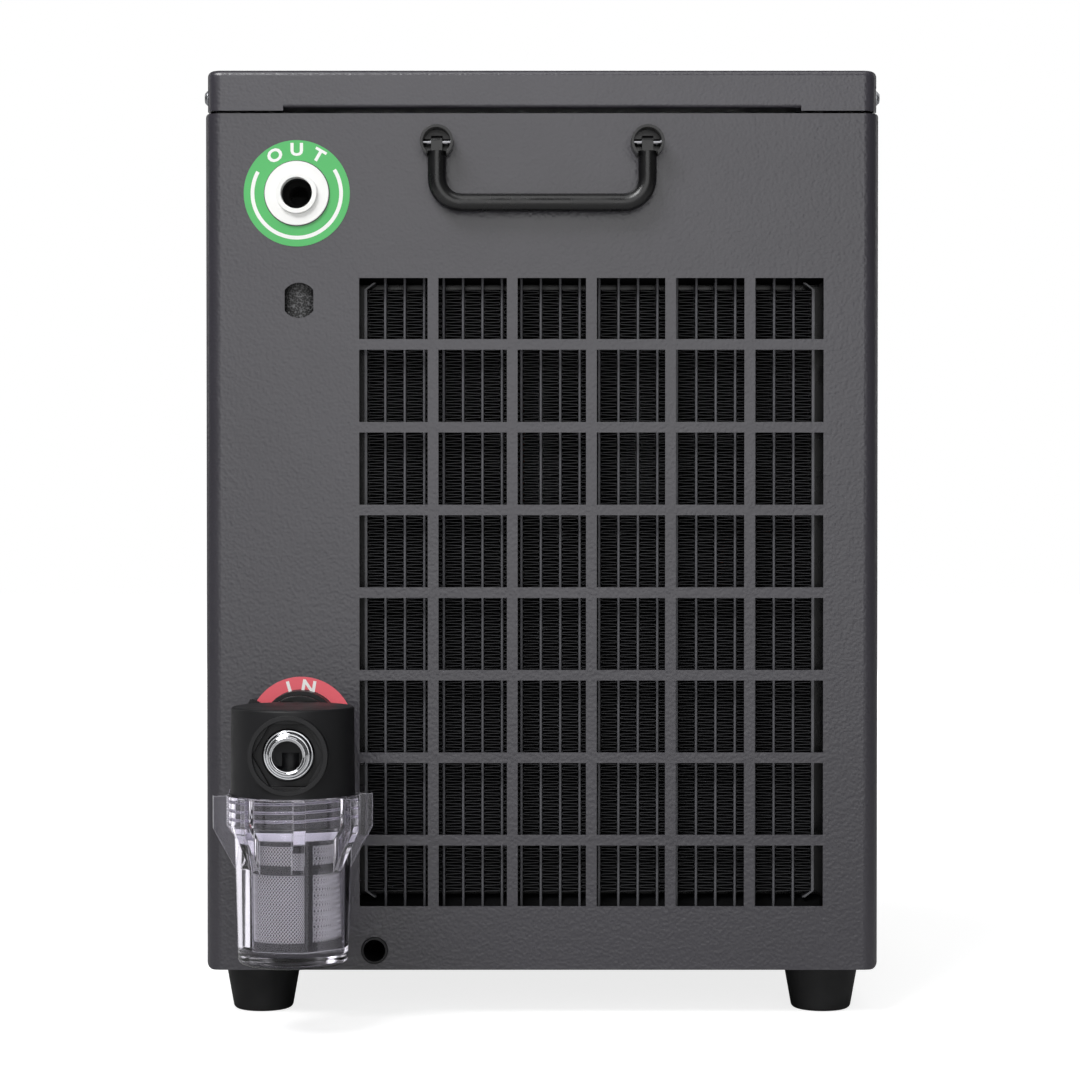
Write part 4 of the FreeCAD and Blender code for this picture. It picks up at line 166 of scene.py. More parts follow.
@dataclass(frozen=True)
class Finish:
    """A solid, evenly made surface with a fine grain and slight shading of its colour."""

    BEVEL_SAMPLES: ClassVar[int] = 4
    PATCH_SPAN: ClassVar[tuple[float, float]] = (0.35, 0.65)
    GLOSS_SPAN: ClassVar[tuple[float, float]] = (0.3, 0.7)
    GLOSS_PATCH_SHARE: ClassVar[float] = 0.4

    name: str
    colour: str
    roughness: float = 0.5
    metallic: float = 0.0
    ior: float = 1.5
    specular: float = 0.5
    # Width and height of the grain
    grain_mm: tuple[float, float] = (0.6, 0.01)
    patch_mm: float = 30.0
    patch_contrast: float = 0.06
    roughness_spread: float = 0.06
    edge_mm: float = 0.0

    def material(self) -> bpy.types.Material:
        """Give the material, which is built when it is first asked for."""
        found = bpy.data.materials.get(self.name)
        if found is not None:
            return found
        material = bpy.data.materials.new(self.name)
        material.use_nodes = True
        tree = material.node_tree
        shader = tree.nodes["Principled BSDF"]
        surface = Surface(tree, shader, add_node(tree, Node.COORDINATES).outputs["Object"])
        self.set_constants(shader)
        self.shade(surface)
        self.roughen(surface)
        self.relief(surface)
        return material

    def set_constants(self, shader: Shader) -> None:
        """Set what is the same all over the surface.

        Args:
            shader: The material's Principled shader.
        """
        shader.inputs["Metallic"].default_value = self.metallic
        if self.metallic < 0.5:
            shader.inputs["IOR"].default_value = self.ior
            shader.inputs["Specular IOR Level"].default_value = self.specular

    def shade(self, surface: Surface) -> None:
        """Vary the colour in soft patches.

        Args:
            surface: The material that is being made.
        """
        *channels, alpha = linear(self.colour)
        stops = []
        for position, way in zip(self.PATCH_SPAN, (-1, 1)):
            share = 1 + way * self.patch_contrast
            red, green, blue = (min(channel * share, 1.0) for channel in channels)
            stops.append((position, (red, green, blue, alpha)))
        patches = add_node(surface.tree, Node.NOISE, surface.marks(self.patch_mm, Detail=3.0))
        ramp = add_node(surface.tree, Node.RAMP, {"Fac": patches.outputs["Fac"]}, stops)
        surface.link(ramp.outputs["Color"], "Base Color")

    def roughen(self, surface: Surface) -> None:
        """Vary the gloss in soft patches.

        Args:
            surface: The material that is being made.
        """
        patch_mm = self.patch_mm * self.GLOSS_PATCH_SHARE
        patches = add_node(surface.tree, Node.NOISE, surface.marks(patch_mm, Detail=3.0))
        least = max(self.roughness - self.roughness_spread, 0.02)
        most = min(self.roughness + self.roughness_spread, 1.0)
        gloss = span(patches.outputs["Fac"], *self.GLOSS_SPAN, least, most)
        surface.link(add_node(surface.tree, Node.RANGE, gloss).outputs["Result"], "Roughness")

    def relief(self, surface: Surface) -> None:
        """Raise the fine grain, over edges that the making has rounded.

        Args:
            surface: The material that is being made.
        """
        size_mm, height_mm = self.grain_mm
        grain = add_node(surface.tree, Node.NOISE, surface.marks(size_mm, Detail=2.0))
        heights = {"Height": grain.outputs["Fac"], "Distance": height_mm * MM}
        bump = add_node(surface.tree, Node.BUMP, heights)
        if self.edge_mm > 0:
            surface.tree.links.new(self.rounded_edges(surface), bump.inputs["Normal"])
        surface.link(bump.outputs["Normal"], "Normal")

    def rounded_edges(self, surface: Surface) -> Socket:
        """Give the surface's direction as it is with its edges rounded off."""
        radius = {"Radius": self.edge_mm * MM}
        return add_node(surface.tree, Node.BEVEL, radius, samples=self.BEVEL_SAMPLES).outputs["Normal"]


@dataclass(frozen=True)
class PowderCoat(Finish):
    """Baked polyester powder: a dry sheen over fine pebbles, as the paint flowed and set."""

    # Real pebbles are about 0.02 mm high, which this picture can't show, so they are drawn higher.
    pebble_mm: tuple[float, float] = (1.5, 0.125)

    def relief(self, surface: Surface) -> None:
        """Lay the powder's pebbles over the grain.

        Args:
            surface: The material that is being made.
        """
        normal: Inputs = {}
        for (size_mm, height_mm), detail in ((self.grain_mm, 1.0), (self.pebble_mm, 0.0)):
            bumps = add_node(surface.tree, Node.NOISE, surface.marks(size_mm, Detail=detail))
            heights = {"Height": bumps.outputs["Fac"], "Distance": height_mm * MM}
            bump = add_node(surface.tree, Node.BUMP, heights | normal)
            normal = {"Normal": bump.outputs["Normal"]}
        surface.link(normal["Normal"], "Normal")


@dataclass(frozen=True)
class ClearAcrylic(Finish):
    """Injection moulded acrylic: clear right through, with a painted highlight, a whitish line where
    each rounded edge is made less clear.
    """

    SHARP_TURN: ClassVar[float] = 0.8
    NO_TURN: ClassVar[float] = 0.98

    # How clear the painted highlight line along each rounded edge is.
    edge_highlight_clearness: float = 0.45

    def shade(self, surface: Surface) -> None:
        """Let light through, less so in a narrow line along each rounded edge, which paints a highlight
        there.

        Args:
            surface: The material that is being made.
        """
        super().shade(surface)
        flat = add_node(surface.tree, Node.GEOMETRY).outputs["True Normal"]
        rounded = self.rounded_edges(surface)
        turn = add_node(surface.tree, Node.VECTOR_MATHS, {0: flat, 1: rounded}, operation="DOT_PRODUCT")
        clearness = span(turn.outputs["Value"], self.SHARP_TURN, self.NO_TURN, self.edge_highlight_clearness, 1.0)
        clear = add_node(surface.tree, Node.RANGE, clearness)
        surface.link(clear.outputs["Result"], "Transmission Weight")

    def roughen(self, surface: Surface) -> None:
        """Keep the polish even, so that the clear wall stays clear."""
        surface.shader.inputs["Roughness"].default_value = self.roughness


@dataclass(frozen=True)
class TurnedChrome(Finish):
    """Polished plate over turned steps, whose shoulders bend the lamps into light and dark rings."""

    step_mm: tuple[float, float] = (2.7, 0.5)

    def relief(self, surface: Surface) -> None:
        """Raise round steps about the axis of the bore.

        Args:
            surface: The material that is being made.
        """
        across = add_node(
            surface.tree,
            Node.VECTOR_MATHS,
            {0: surface.place, 1: (1, 0, 1), 2: (-FILTER_X * MM, 0, -HEAD_PORT_Z * MM)},
            operation="MULTIPLY_ADD",
        )
        way_out = {0: across.outputs["Vector"]}
        radius = add_node(surface.tree, Node.VECTOR_MATHS, way_out, operation="LENGTH")
        width_mm, height_mm = self.step_mm
        steps = {0: radius.outputs["Value"], 1: math.tau / (width_mm * MM)}
        phase = add_node(surface.tree, Node.MATHS, steps, operation="MULTIPLY")
        wave = add_node(surface.tree, Node.MATHS, {0: phase.outputs["Value"]}, operation="SINE")
        heights = {"Height": wave.outputs["Value"], "Distance": height_mm / 2 * MM}
        bump = add_node(surface.tree, Node.BUMP, heights)
        surface.link(bump.outputs["Normal"], "Normal")


@dataclass(frozen=True)
class CellFoam(Finish):
    """Closed cell rubber foam: dark, with open cells that glint at their rims."""

    RIM_SPAN: ClassVar[tuple[float, float]] = (0.45, 0.9)

    cell_mm: float = 0.9
    rim_colour: str = "606062"

    def shade(self, surface: Surface) -> None:
        """Give the rims of the cells their grey glint.

        Args:
            surface: The material that is being made.
        """
        cells = add_node(surface.tree, Node.VORONOI, surface.marks(self.cell_mm))
        stops = tuple(zip(self.RIM_SPAN, (linear(self.colour), linear(self.rim_colour))))
        ramp = add_node(surface.tree, Node.RAMP, {"Fac": cells.outputs["Distance"]}, stops)
        surface.link(ramp.outputs["Color"], "Base Color")


@dataclass(frozen=True)
class LitSegment(Finish):
    """Segments that a small diode lights from behind."""

    strength: float = 0.6

    def set_constants(self, shader: Shader) -> None:
        """Let it glow a little.

        Args:
            shader: The material's Principled shader.
        """
        super().set_constants(shader)
        shader.inputs["Emission Color"].default_value = linear(self.colour)
        shader.inputs["Emission Strength"].default_value = self.strength


@dataclass(frozen=True)
class BoreShadeMoulding(Finish):
    """White moulding painted black and dull behind a set depth: painted shade that keeps the bore dark.
    """

    BORE_SHADE_ROUGHNESS: ClassVar[float] = 0.95
    BORE_SHADE_EDGE_MM: ClassVar[float] = 0.3

    # Painted shade: behind this depth the bore's own surface is black and dull.
    bore_shade_from_mm: float = PANEL_Y + 4.0
    bore_shade_colour: str = "060606"

    def shade(self, surface: Surface) -> None:
        """Turn the colour black behind the painted shade's edge.

        Args:
            surface: The material that is being made.
        """
        inside = self.behind_bore_shade_edge(surface, 0.0, 1.0)
        stops = ((0.0, linear(self.colour)), (1.0, linear(self.bore_shade_colour)))
        ramp = add_node(surface.tree, Node.RAMP, {"Fac": inside}, stops)
        surface.link(ramp.outputs["Color"], "Base Color")

    def roughen(self, surface: Surface) -> None:
        """Keep the moulding's gloss outside and make the painted shade in the bore dull.

        Args:
            surface: The material that is being made.
        """
        roughness = self.behind_bore_shade_edge(surface, self.roughness, self.BORE_SHADE_ROUGHNESS)
        surface.link(roughness, "Roughness")

    def behind_bore_shade_edge(self, surface: Surface, outside: float, inside: float) -> Socket:
        """Give one value in front of the painted shade's edge in the bore and another behind it.

        Args:
            surface: The material that is being made.
            outside: The value in front.
            inside: The value behind.

        Returns:
            The value.
        """
        parts = add_node(surface.tree, Node.SEPARATE, {"Vector": surface.place})
        front = (self.bore_shade_from_mm - self.BORE_SHADE_EDGE_MM) * MM
        back = (self.bore_shade_from_mm + self.BORE_SHADE_EDGE_MM) * MM
        depth = span(parts.outputs["Y"], front, back, outside, inside)
        return add_node(surface.tree, Node.RANGE, depth).outputs["Result"]


# Polyester powder, sprayed and baked: shallow pebbles break the lamps up into a soft grey sheen.
PANEL_PAINT = PowderCoat(
    "powder coat on folded steel, panels",
    "323037",
    0.33,
    roughness_spread=0.012,
    specular=0.85,
    grain_mm=(0.5, 0.02),
    patch_mm=70,
    patch_contrast=0.05,
)
# The same powder, a little lighter in colour: the lid reads a little lighter than the panels.
LID_PAINT = replace(PANEL_PAINT, name="powder coat on folded steel, lid", colour="37353c")
# Nylon moulded in a spark eroded tool: black, with long soft highlights along the bars.
NYLON = Finish("moulded black nylon", "0e0e0f", 0.28, specular=0.55, grain_mm=(0.8, 0.05), edge_mm=0.3)
# ABS moulded in a matt tool: dark grey, with no clear reflection.
ABS = Finish("moulded black ABS", "19191b", 0.46, specular=0.35, grain_mm=(0.4, 0.008), edge_mm=0.4)
# ABS moulded in a polished tool: black, with clear highlights on its rims.
GLOSS_ABS = Finish("polished black ABS", "0c0c0d", 0.16, grain_mm=(3.0, 0.006), edge_mm=0.5)
# White ABS from a polished tool: bright, with shading only in its hollows.
WHITE_ABS = Finish(
    "moulded white ABS", "f2f2f0", 0.25, grain_mm=(3.0, 0.006), edge_mm=0.3, patch_contrast=0.015
)
# The same white moulding with painted shade in its bore: a bright nipple with a bore painted black so
# that it reads as a hole.
OUTLET_PLASTIC = BoreShadeMoulding(
    "moulded white ABS with painted bore shade", "f6f6f4", 0.28, grain_mm=(3.0, 0.006), edge_mm=0.4
)
# Moulded rubber: nearly black and dull, with a faint bloom on its edges.
RUBBER = Finish("moulded rubber", "09090b", 0.62, grain_mm=(0.5, 0.02), edge_mm=0.5)
# Chromium plate on turned brass: a mirror that shows white lamps and a dark room in rings.
CHROME = TurnedChrome("chromium plate on turned brass", "d4d5d8", 0.08, 1.0, patch_contrast=0.02)
# Ground and burnished steel: one bright line along each pin.
PIN_STEEL = Finish("burnished steel pin", "a0a0a4", 0.2, 1.0, grain_mm=(1.0, 0.004))
# Zinc plated screws: a pale grey metal with a soft sheen.
ZINC = Finish("zinc plated steel", "b4b6ba", 0.3, 1.0, grain_mm=(0.5, 0.006), edge_mm=0.2)
# Clear acrylic from a polished tool: nearly invisible walls, with painted highlight lines at ribs and
# rims.
ACRYLIC = ClearAcrylic(
    "moulded clear acrylic",
    "e4e1eb",
    0.045,
    ior=1.49,
    grain_mm=(9, 0.03),
    patch_contrast=0.01,
    edge_mm=0.7,
)
# Moulded silicone: an even, waxy white behind the clear wall.
SILICONE = Finish("moulded white silicone", "f6f6fa", 0.4, grain_mm=(2, 0.01))
# Drawn stainless wire, woven: pale metal that sparkles where the wires cross.
STEEL_MESH = Finish("woven stainless wire", "ecedea", 0.4, 1.0, grain_mm=(0.2, 0.004))
# The finer cloth under it: a dim grey sheet, as its weave is too fine to show.
STEEL_CLOTH = Finish("tight stainless cloth", "5c5c59", 0.5, 1.0, grain_mm=(0.2, 0.02))
# Screen printed vinyl: flat, even colour with a slight sheen.
GREEN_LABEL = Finish("printed vinyl, green", "53b967", 0.4, grain_mm=(1.5, 0.004), patch_contrast=0.02)
RED_LABEL = Finish("printed vinyl, red", "ec636f", 0.4, grain_mm=(1.5, 0.004), patch_contrast=0.02)
# White printing ink on vinyl and rubber: flat and a little duller than the vinyl.
WHITE_INK = Finish("white printing ink", "f4f4f2", 0.45, grain_mm=(1.5, 0.003), patch_contrast=0.01)
# Rolled foil with a dark dip coat: the folded edges read as grey lines over black.
FIN_ALUMINIUM = Finish("coated aluminium, fins", "28282b", 0.5, grain_mm=(1.0, 0.01))
# Extruded flat tubes with a thinner coat: lighter upright lines.
TUBE_ALUMINIUM = Finish("coated aluminium, tubes", "57575b", 0.45, grain_mm=(1.5, 0.02))
# Headers in a black coat, made near-black and dull as painted shade, so that they stay dark behind the
# grille.
SHADED_HEADER_ALUMINIUM = Finish(
    "coated aluminium, headers, painted shade", "070708", 0.8, specular=0.08, grain_mm=(1.5, 0.02)
)
# Hot dipped sheet: zinc crystals of about 12 mm, each with its own grey.
GALVANISED = Finish(
    "galvanised sheet", "9da1a3", 0.42, 0.9, grain_mm=(9, 0.02), patch_mm=12, patch_contrast=0.12
)
# Stoved enamel on pressed steel: black with a slight orange peel in its gloss.
ENAMEL = Finish("black stoving enamel", "141416", 0.28, grain_mm=(2.5, 0.02), edge_mm=0.5)
# Drawn copper: a warm metal with cloudy patches where it was handled.
COPPER = Finish(
    "drawn copper tube", "b87359", 0.3, 1.0, grain_mm=(2.5, 0.01), patch_mm=14, patch_contrast=0.1
)
# Extruded rubber hose: dull black.
HOSE = Finish("extruded rubber hose", "1a1a1c", 0.55, grain_mm=(0.8, 0.02))
# Foam rubber, cut from a block: its open cells are drawn 0.9 mm wide, as finer ones don't show.
FOAM = CellFoam("closed cell foam", "0d0d0e", 0.5, grain_mm=(0.9, 0.3))
# Tinted acrylic sheet: a black window with sharp reflections.
SMOKED = Finish("smoked acrylic window", "08080a", 0.08, grain_mm=(12, 0.004), edge_mm=0.3)
# Diffusing plastic with a diode behind it: pale blue that glows a little.
LIT_DIGIT = LitSegment("lit display segment", "7fd8ff", 0.3, grain_mm=(3, 0.002))
# Drawn brass: yellow pins with a fine sheen.
PIN_BRASS = Finish("drawn brass pin", "c9b16c", 0.28, 1.0, grain_mm=(0.6, 0.004))


# Meshes


@dataclass
class Shape:
    """Corners, in millimetres, and faces that are gathered before they become a mesh."""

    points: list[Vector] = field(default_factory=list)
    faces: list[tuple[int, ...]] = field(default_factory=list)

    def add(self, points: Iterable[Vector], faces: Iterable[Sequence[int]]) -> None:
        """Add corners, and faces numbered from the first of them.

        Args:
            points: The new corners.
            faces: The new faces.
        """
        start = len(self.points)
        self.points.extend(points)
        self.faces.extend(tuple(index + start for index in face) for face in faces)

    def loft(self, rings: Sequence[Sequence[Vector]], caps: bool = True) -> None:
        """Skin a row of closed rings that have equally many points.

        Args:
            rings: The rings, in order.
            caps: Whether the first and the last ring are filled.
        """
        count = len(rings[0])
        last = (len(rings) - 1) * count
        faces: list[tuple[int, ...]] = []
        for low in range(0, last, count):
            high = low + count
            for i in range(count):
                j = (i + 1) % count
                faces.append((low + i, low + j, high + j, high + i))
        if caps:
            faces.append(tuple(reversed(range(count))))
            faces.append(tuple(range(last, last + count)))
        self.add([point for ring in rings for point in ring], faces)

    def piece(
        self, name: str, finish: Finish, body: str, slot: str, smooth: bool = False
    ) -> bpy.types.Object:
        """Make the mesh piece and hang it on a body.

        Args:
            name: The piece's name.
            finish: Its finish.
            body: The body that it moves with.
            slot: The record's material slot. It is not used.
            smooth: Whether its faces are shaded smooth.

        Returns:
            The new object.
        """
        mesh = bpy.data.meshes.new(name)
        mesh.from_pydata([tuple(point * MM) for point in self.points], [], self.faces)
        mesh.materials.append(finish.material())
        for polygon in mesh.polygons:
            polygon.use_smooth = smooth
        piece = bpy.data.objects.new(name, mesh)
        bpy.context.scene.collection.objects.link(piece)
        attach(piece, body)
        log.info("%s: %d faces", name, len(self.faces))
        return piece


@dataclass
class SubAssembly:
    """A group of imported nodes, with the fine pieces that belong to them."""

    finishes: ClassVar[dict[str, Finish]] = {}

    def build(self) -> None:
        """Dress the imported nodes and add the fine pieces."""
        for name, finish in self.finishes.items():
            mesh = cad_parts[name].data
            mesh.materials.clear()
            mesh.materials.append(finish.material())
        log.info("%s: %d nodes dressed", type(self).__name__, len(self.finishes))
        self.add_pieces()

    def add_pieces(self) -> None:
        """Add the fine pieces, which only some sub-assemblies have."""


# Cabinet


@dataclass
class Cabinet(SubAssembly):
    """Folded panels, lid and base pan on four rubber feet."""

    finishes: ClassVar[dict[str, Finish]] = {
        "front_panel": PANEL_PAINT,
        "rear_panel": PANEL_PAINT,
        "left_side_panel": PANEL_PAINT,
        "right_side_panel": PANEL_PAINT,
        "base_pan": GALVANISED,
        "lid": LID_PAINT,
        "lid_screws": ZINC,
        "foot_front_left": RUBBER,
        "foot_front_right": RUBBER,
        "foot_rear_left": RUBBER,
        "foot_rear_right": RUBBER,
        "foot_screws": ZINC,
    }


@dataclass
class Handles(SubAssembly):
    """The two drop handles with their slotted hubs and pins."""

    finishes: ClassVar[dict[str, Finish]] = {
        "front_handle_hubs": NYLON,
        "front_handle_bar": NYLON,
        "rear_handle_hubs": NYLON,
        "rear_handle_bar": NYLON,
        "handle_pins": PIN_STEEL,
    }


# Condenser


@dataclass
class Condenser(SubAssembly):
    """Flat tubes, side plates and folded fins at their real pitch."""

    finishes: ClassVar[dict[str, Finish]] = {
        "condenser_core": TUBE_ALUMINIUM,
        "condenser_fins": FIN_ALUMINIUM,
    }

    left: float = -89.4
    pitch: float = 9.86
    columns: int = 23
    front: float = PANEL_Y + 9.0
    depth: float = 16.0
    tube: float = 1.3
    tube_edge_steps: int = 6
    header_low: float = 52.0
    header_high: float = 379.0
    header_radius: float = 8.0
    header_overrun: float = 5.5
    header_sides: int = 24
    dome: tuple[tuple[float, float], ...] = ((0.0, 0.6), (0.8, 0.86), (2.2, 1.0))
    fin_low: float = 62.0
    fin_high: float = 369.0
    fin_gap: float = 0.03
    fin_setback: float = 0.6
    leg: float = 1.43
    crown_share: float = 0.08
    crown_rise: float = 0.37
    quick_wander: float = 0.07
    slow_wander: float = 0.08
    # A real foil is 0.1 mm thick, which this picture can't show, so it is drawn twice as thick.
    foil: float = 0.21
    louvre: float = 0.9
    hook: float = 4.5
    hook_rise: float = 3.375
    plate_overrun: float = 2.5

    def add_pieces(self) -> None:
        """Add the fins and the brazed core."""
        self.fins()
        self.core()
        self.headers()

    def fins(self) -> None:
        """Fold one ribbon for each space between two tubes."""
        shape = Shape()
        for column in range(self.columns):
            self.ribbon(shape, column)
        piece = shape.piece("fin_ribbons", FIN_ALUMINIUM, "cabinet", "aluminium")
        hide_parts("condenser_fins")

    def ribbon(self, shape: Shape, column: int) -> None:
        """Add one ribbon, whose middle stands higher as its louvres lift it.

        Args:
            shape: Where it is added.
            column: Its place from the left.
        """
        half = self.foil / 2
        inset = self.tube / 2 + self.fin_gap
        low_x = self.left + self.pitch * column + inset
        high_x = self.left + self.pitch * (column + 1) - inset
        front, back = self.front + self.fin_setback, self.front + self.depth - self.fin_setback
        middle = (front + back) / 2
        rings = []
        for x, z in self.folds(low_x, high_x, column):
            x = min(max(x, low_x + half), high_x - half)
            z = min(max(z, self.fin_low + half), self.fin_high - half)
            lift = min(self.louvre, self.fin_high - half - z)
            rings.append(
                [
                    Vector((x, front, z - half)),
                    Vector((x, front, z + half)),
                    Vector((x, middle, z + half + lift)),
                    Vector((x, back, z + half)),
                    Vector((x, back, z - half)),
                    Vector((x, middle, z - half + lift)),
                ]
            )
        shape.loft(rings)

    def folds(self, low_x: float, high_x: float, column: int) -> list[tuple[float, float]]:
        """Run from side to side with slightly uneven legs, as a folding machine leaves them.

        Args:
            low_x: The left side of the space.
            high_x: The right side of the space.
            column: The ribbon's place from the left.

        Returns:
            The path's places across and up.
        """
        path: list[tuple[float, float]] = []
        for i in range(int((self.fin_high - self.fin_low) / self.leg)):
            z = self.fin_low + self.leg * i
            wander = self.quick_wander * math.sin(i * 1.7 + column * 2.3)
            wander += self.slow_wander * math.sin(i * 0.31 + column)
            near, far = (low_x, high_x) if i % 2 == 0 else (high_x, low_x)
            path.append((near, z))
            for share, rise in (
                (self.crown_share, self.crown_rise),
                (1 - self.crown_share, 1 - self.crown_rise),
            ):
                path.append((near + (far - near) * share, z + self.leg * rise + wander))
        return path

    def core(self) -> None:
        """Add the rounded flat tubes and the hooked side plates."""
        shape = Shape()
        for i in range(1, self.columns):
            self.flat_tube(shape, self.left + self.pitch * i)
        for i, side in ((0, 1), (self.columns, -1)):
            self.side_plate(shape, self.left + self.pitch * i, side)
        piece = shape.piece("condenser_frame", TUBE_ALUMINIUM, "cabinet", "aluminium")
        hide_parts("condenser_core")

    def flat_tube(self, shape: Shape, x: float) -> None:
        """Add one flat tube with rounded edges.

        Args:
            shape: Where it is added.
            x: The tube's middle.
        """
        radius = self.tube / 2
        ring: list[Vector] = []
        for centre, start in (
            (self.front + radius, math.pi),
            (self.front + self.depth - radius, 0.0),
        ):
            for step in range(self.tube_edge_steps + 1):
                angle = start + math.pi * step / self.tube_edge_steps
                ring.append(
                    Vector((x + radius * math.cos(angle), centre + radius * math.sin(angle), 0))
                )
        levels = (Vector((0, 0, self.header_low)), Vector((0, 0, self.header_high)))
        shape.loft([[point + level for point in ring] for level in levels])

    def side_plate(self, shape: Shape, x: float, side: int) -> None:
        """Add one side plate whose ends bend inwards over the fins.

        Args:
            shape: Where it is added.
            x: The plate's middle.
            side: The way inwards, 1 or -1.
        """
        half = self.tube / 2
        deep = Vector((0, self.depth, 0))
        low, high = self.fin_low - self.plate_overrun, self.fin_high + self.plate_overrun
        rings = []
        for middle_x, z in (
            (x + side * self.hook, low),
            (x, low + self.hook_rise),
            (x, high - self.hook_rise),
            (x + side * self.hook, high),
        ):
            a = Vector((middle_x - half, self.front, z))
            b = Vector((middle_x + half, self.front, z))
            rings.append([a, b, b + deep, a + deep])
        shape.loft(rings)

    def headers(self) -> None:
        """Add the two round headers with their domed ends."""
        shape = Shape()
        left = self.left - self.header_overrun
        right = self.left + self.pitch * self.columns + self.header_overrun
        profile = [(left + inset, share) for inset, share in self.dome]
        profile += [(right - inset, share) for inset, share in reversed(self.dome)]
        for level in (self.header_low, self.header_high):
            shape.loft([self.header_ring(x, level, share) for x, share in profile])
        # The headers' near-black, dull finish is painted shade for the shadow behind the grille.
        shape.piece("condenser_headers", SHADED_HEADER_ALUMINIUM, "cabinet", "aluminium", smooth=True)

    def header_ring(self, x: float, level: float, share: float) -> list[Vector]:
        """Give one ring of a header.

        Args:
            x: The ring's place along the header.
            level: The height of the header's axis.
            share: The ring's share of the header's radius.

        Returns:
            The ring's corners.
        """
        centre_y = self.front + self.depth / 2
        radius = self.header_radius * share
        ring = []
        for step in range(self.header_sides):
            angle = math.tau * step / self.header_sides
            ring.append(
                Vector((x, centre_y + radius * math.cos(angle), level + radius * math.sin(angle)))
            )
        return ring


# Machinery


@dataclass
class Machinery(SubAssembly):
    """Fan, compressor, evaporator and pump with their hoses and pipes."""

    finishes: ClassVar[dict[str, Finish]] = {
        "fan_shroud": ENAMEL,
        "fan_motor_bracket": GALVANISED,
        "fan_motor": ENAMEL,
        "fan_blades": ABS,
        "compressor": ENAMEL,
        "compressor_grommets": RUBBER,
        "evaporator_barrel": WHITE_ABS,
        "evaporator_jacket": FOAM,
        "pump": ABS,
        "outlet_hose": HOSE,
        "outlet_foam": FOAM,
        "suction_hose": HOSE,
        "feed_hose": HOSE,
        "discharge_pipe": COPPER,
        "suction_pipe": COPPER,
        "liquid_line": COPPER,
    }


# Water ports


@dataclass(frozen=True)
class PortLettering:
    """White lettering and a white arc on one ring label."""

    SIZE_PER_CAP: ClassVar[float] = 1.37
    STRETCH: ClassVar[float] = 1.12
    ARC_STEPS: ClassVar[int] = 72

    name: str
    words: str
    x: float
    z: float
    words_from: float = 120.0
    words_to: float = 60.0
    radius: float = 22.3
    cap: float = 6.3
    boldness: float = 0.3
    arc_width: float = 1.9
    arc_from: float = 151.0
    arc_to: float = 392.0
    lift: float = 0.34
    ink: float = 0.05

    def build(self) -> None:
        """Print the arc and the letters."""
        shape = Shape()
        self.arc(shape)
        self.letters(shape)
        shape.piece(self.name, WHITE_INK, "cabinet", "white_plastic")

    def place(self, across: float, up: float, deep: float) -> Vector:
        """Give a point on the label, measured from its middle."""
        return Vector((self.x + across, PANEL_Y - self.lift + deep, self.z + up))

    def arc(self, shape: Shape) -> None:
        """Add the white line that runs round under the port.

        Args:
            shape: Where it is added.
        """
        near, far = self.radius - self.arc_width / 2, self.radius + self.arc_width / 2
        rings = []
        for step in range(self.ARC_STEPS + 1):
            angle = math.radians(
                self.arc_from + (self.arc_to - self.arc_from) * step / self.ARC_STEPS
            )
            cos, sin = math.cos(angle), math.sin(angle)
            corners = ((near, 0.0), (far, 0.0), (far, self.ink), (near, self.ink))
            rings.append([self.place(r * cos, r * sin, deep) for r, deep in corners])
        shape.loft(rings)

    def letters(self, shape: Shape) -> None:
        """Bend the letters round the top of the ring.

        Args:
            shape: Where they are added.
        """
        middle = self.radius - self.cap / 2
        for i, letter in enumerate(self.words):
            share = i / max(len(self.words) - 1, 1)
            angle = math.radians(self.words_from + (self.words_to - self.words_from) * share)
            turn = Matrix.Rotation(angle - math.pi / 2, 3, "Z")
            mesh = self.letter(letter)
            points = []
            for vertex in mesh.vertices:
                flat = turn @ Vector((vertex.co.x / MM * self.STRETCH, vertex.co.y / MM, 0))
                points.append(
                    self.place(
                        flat.x + middle * math.cos(angle),
                        flat.y + middle * math.sin(angle),
                        self.ink / 2 - vertex.co.z / MM,
                    )
                )
            shape.add(points, [tuple(polygon.vertices) for polygon in mesh.polygons])
            bpy.data.meshes.remove(mesh)

    def letter(self, letter: str) -> bpy.types.Mesh:
        """Give the mesh of one upright letter.

        Args:
            letter: The letter.

        Returns:
            Its mesh, in metres.
        """
        curve = bpy.data.curves.new("letter", "FONT")
        curve.body = letter
        curve.size = self.cap * self.SIZE_PER_CAP * MM
        curve.align_x = "CENTER"
        curve.extrude = self.ink / 2 * MM
        curve.offset = self.boldness * MM
        curve.resolution_u = 3
        carrier = bpy.data.objects.new("letter", curve)
        mesh = bpy.data.meshes.new_from_object(carrier)
        bpy.data.objects.remove(carrier)
        bpy.data.curves.remove(curve)
        return mesh


@dataclass
class WaterPorts(SubAssembly):
    """The outlet and the inlet with their ring labels, and the drain."""

    finishes: ClassVar[dict[str, Finish]] = {
        "outlet_fitting": OUTLET_PLASTIC,
        "outlet_nut": WHITE_ABS,
        "outlet_label": GREEN_LABEL,
        "inlet_fitting": ABS,
        "inlet_collar": GLOSS_ABS,
        "inlet_nut": ABS,
        "inlet_label": RED_LABEL,
        "drain_sleeve": ABS,
        "drain_tube": HOSE,
    }

    outlet: PortLettering = PortLettering("outlet_lettering", "OUT", OUTLET_X, OUTLET_Z)
    inlet: PortLettering = PortLettering("inlet_lettering", "IN", FILTER_X, INLET_Z, 106, 80)

    def add_pieces(self) -> None:
        """Print both labels."""
        self.outlet.build()
        self.inlet.build()


# Inlet filter


def filter_point(radius: float, angle: float, z: float) -> Vector:
    """Give a point round the upright axis of the filter."""
    return Vector((FILTER_X + radius * math.cos(angle), FILTER_Y + radius * math.sin(angle), z))


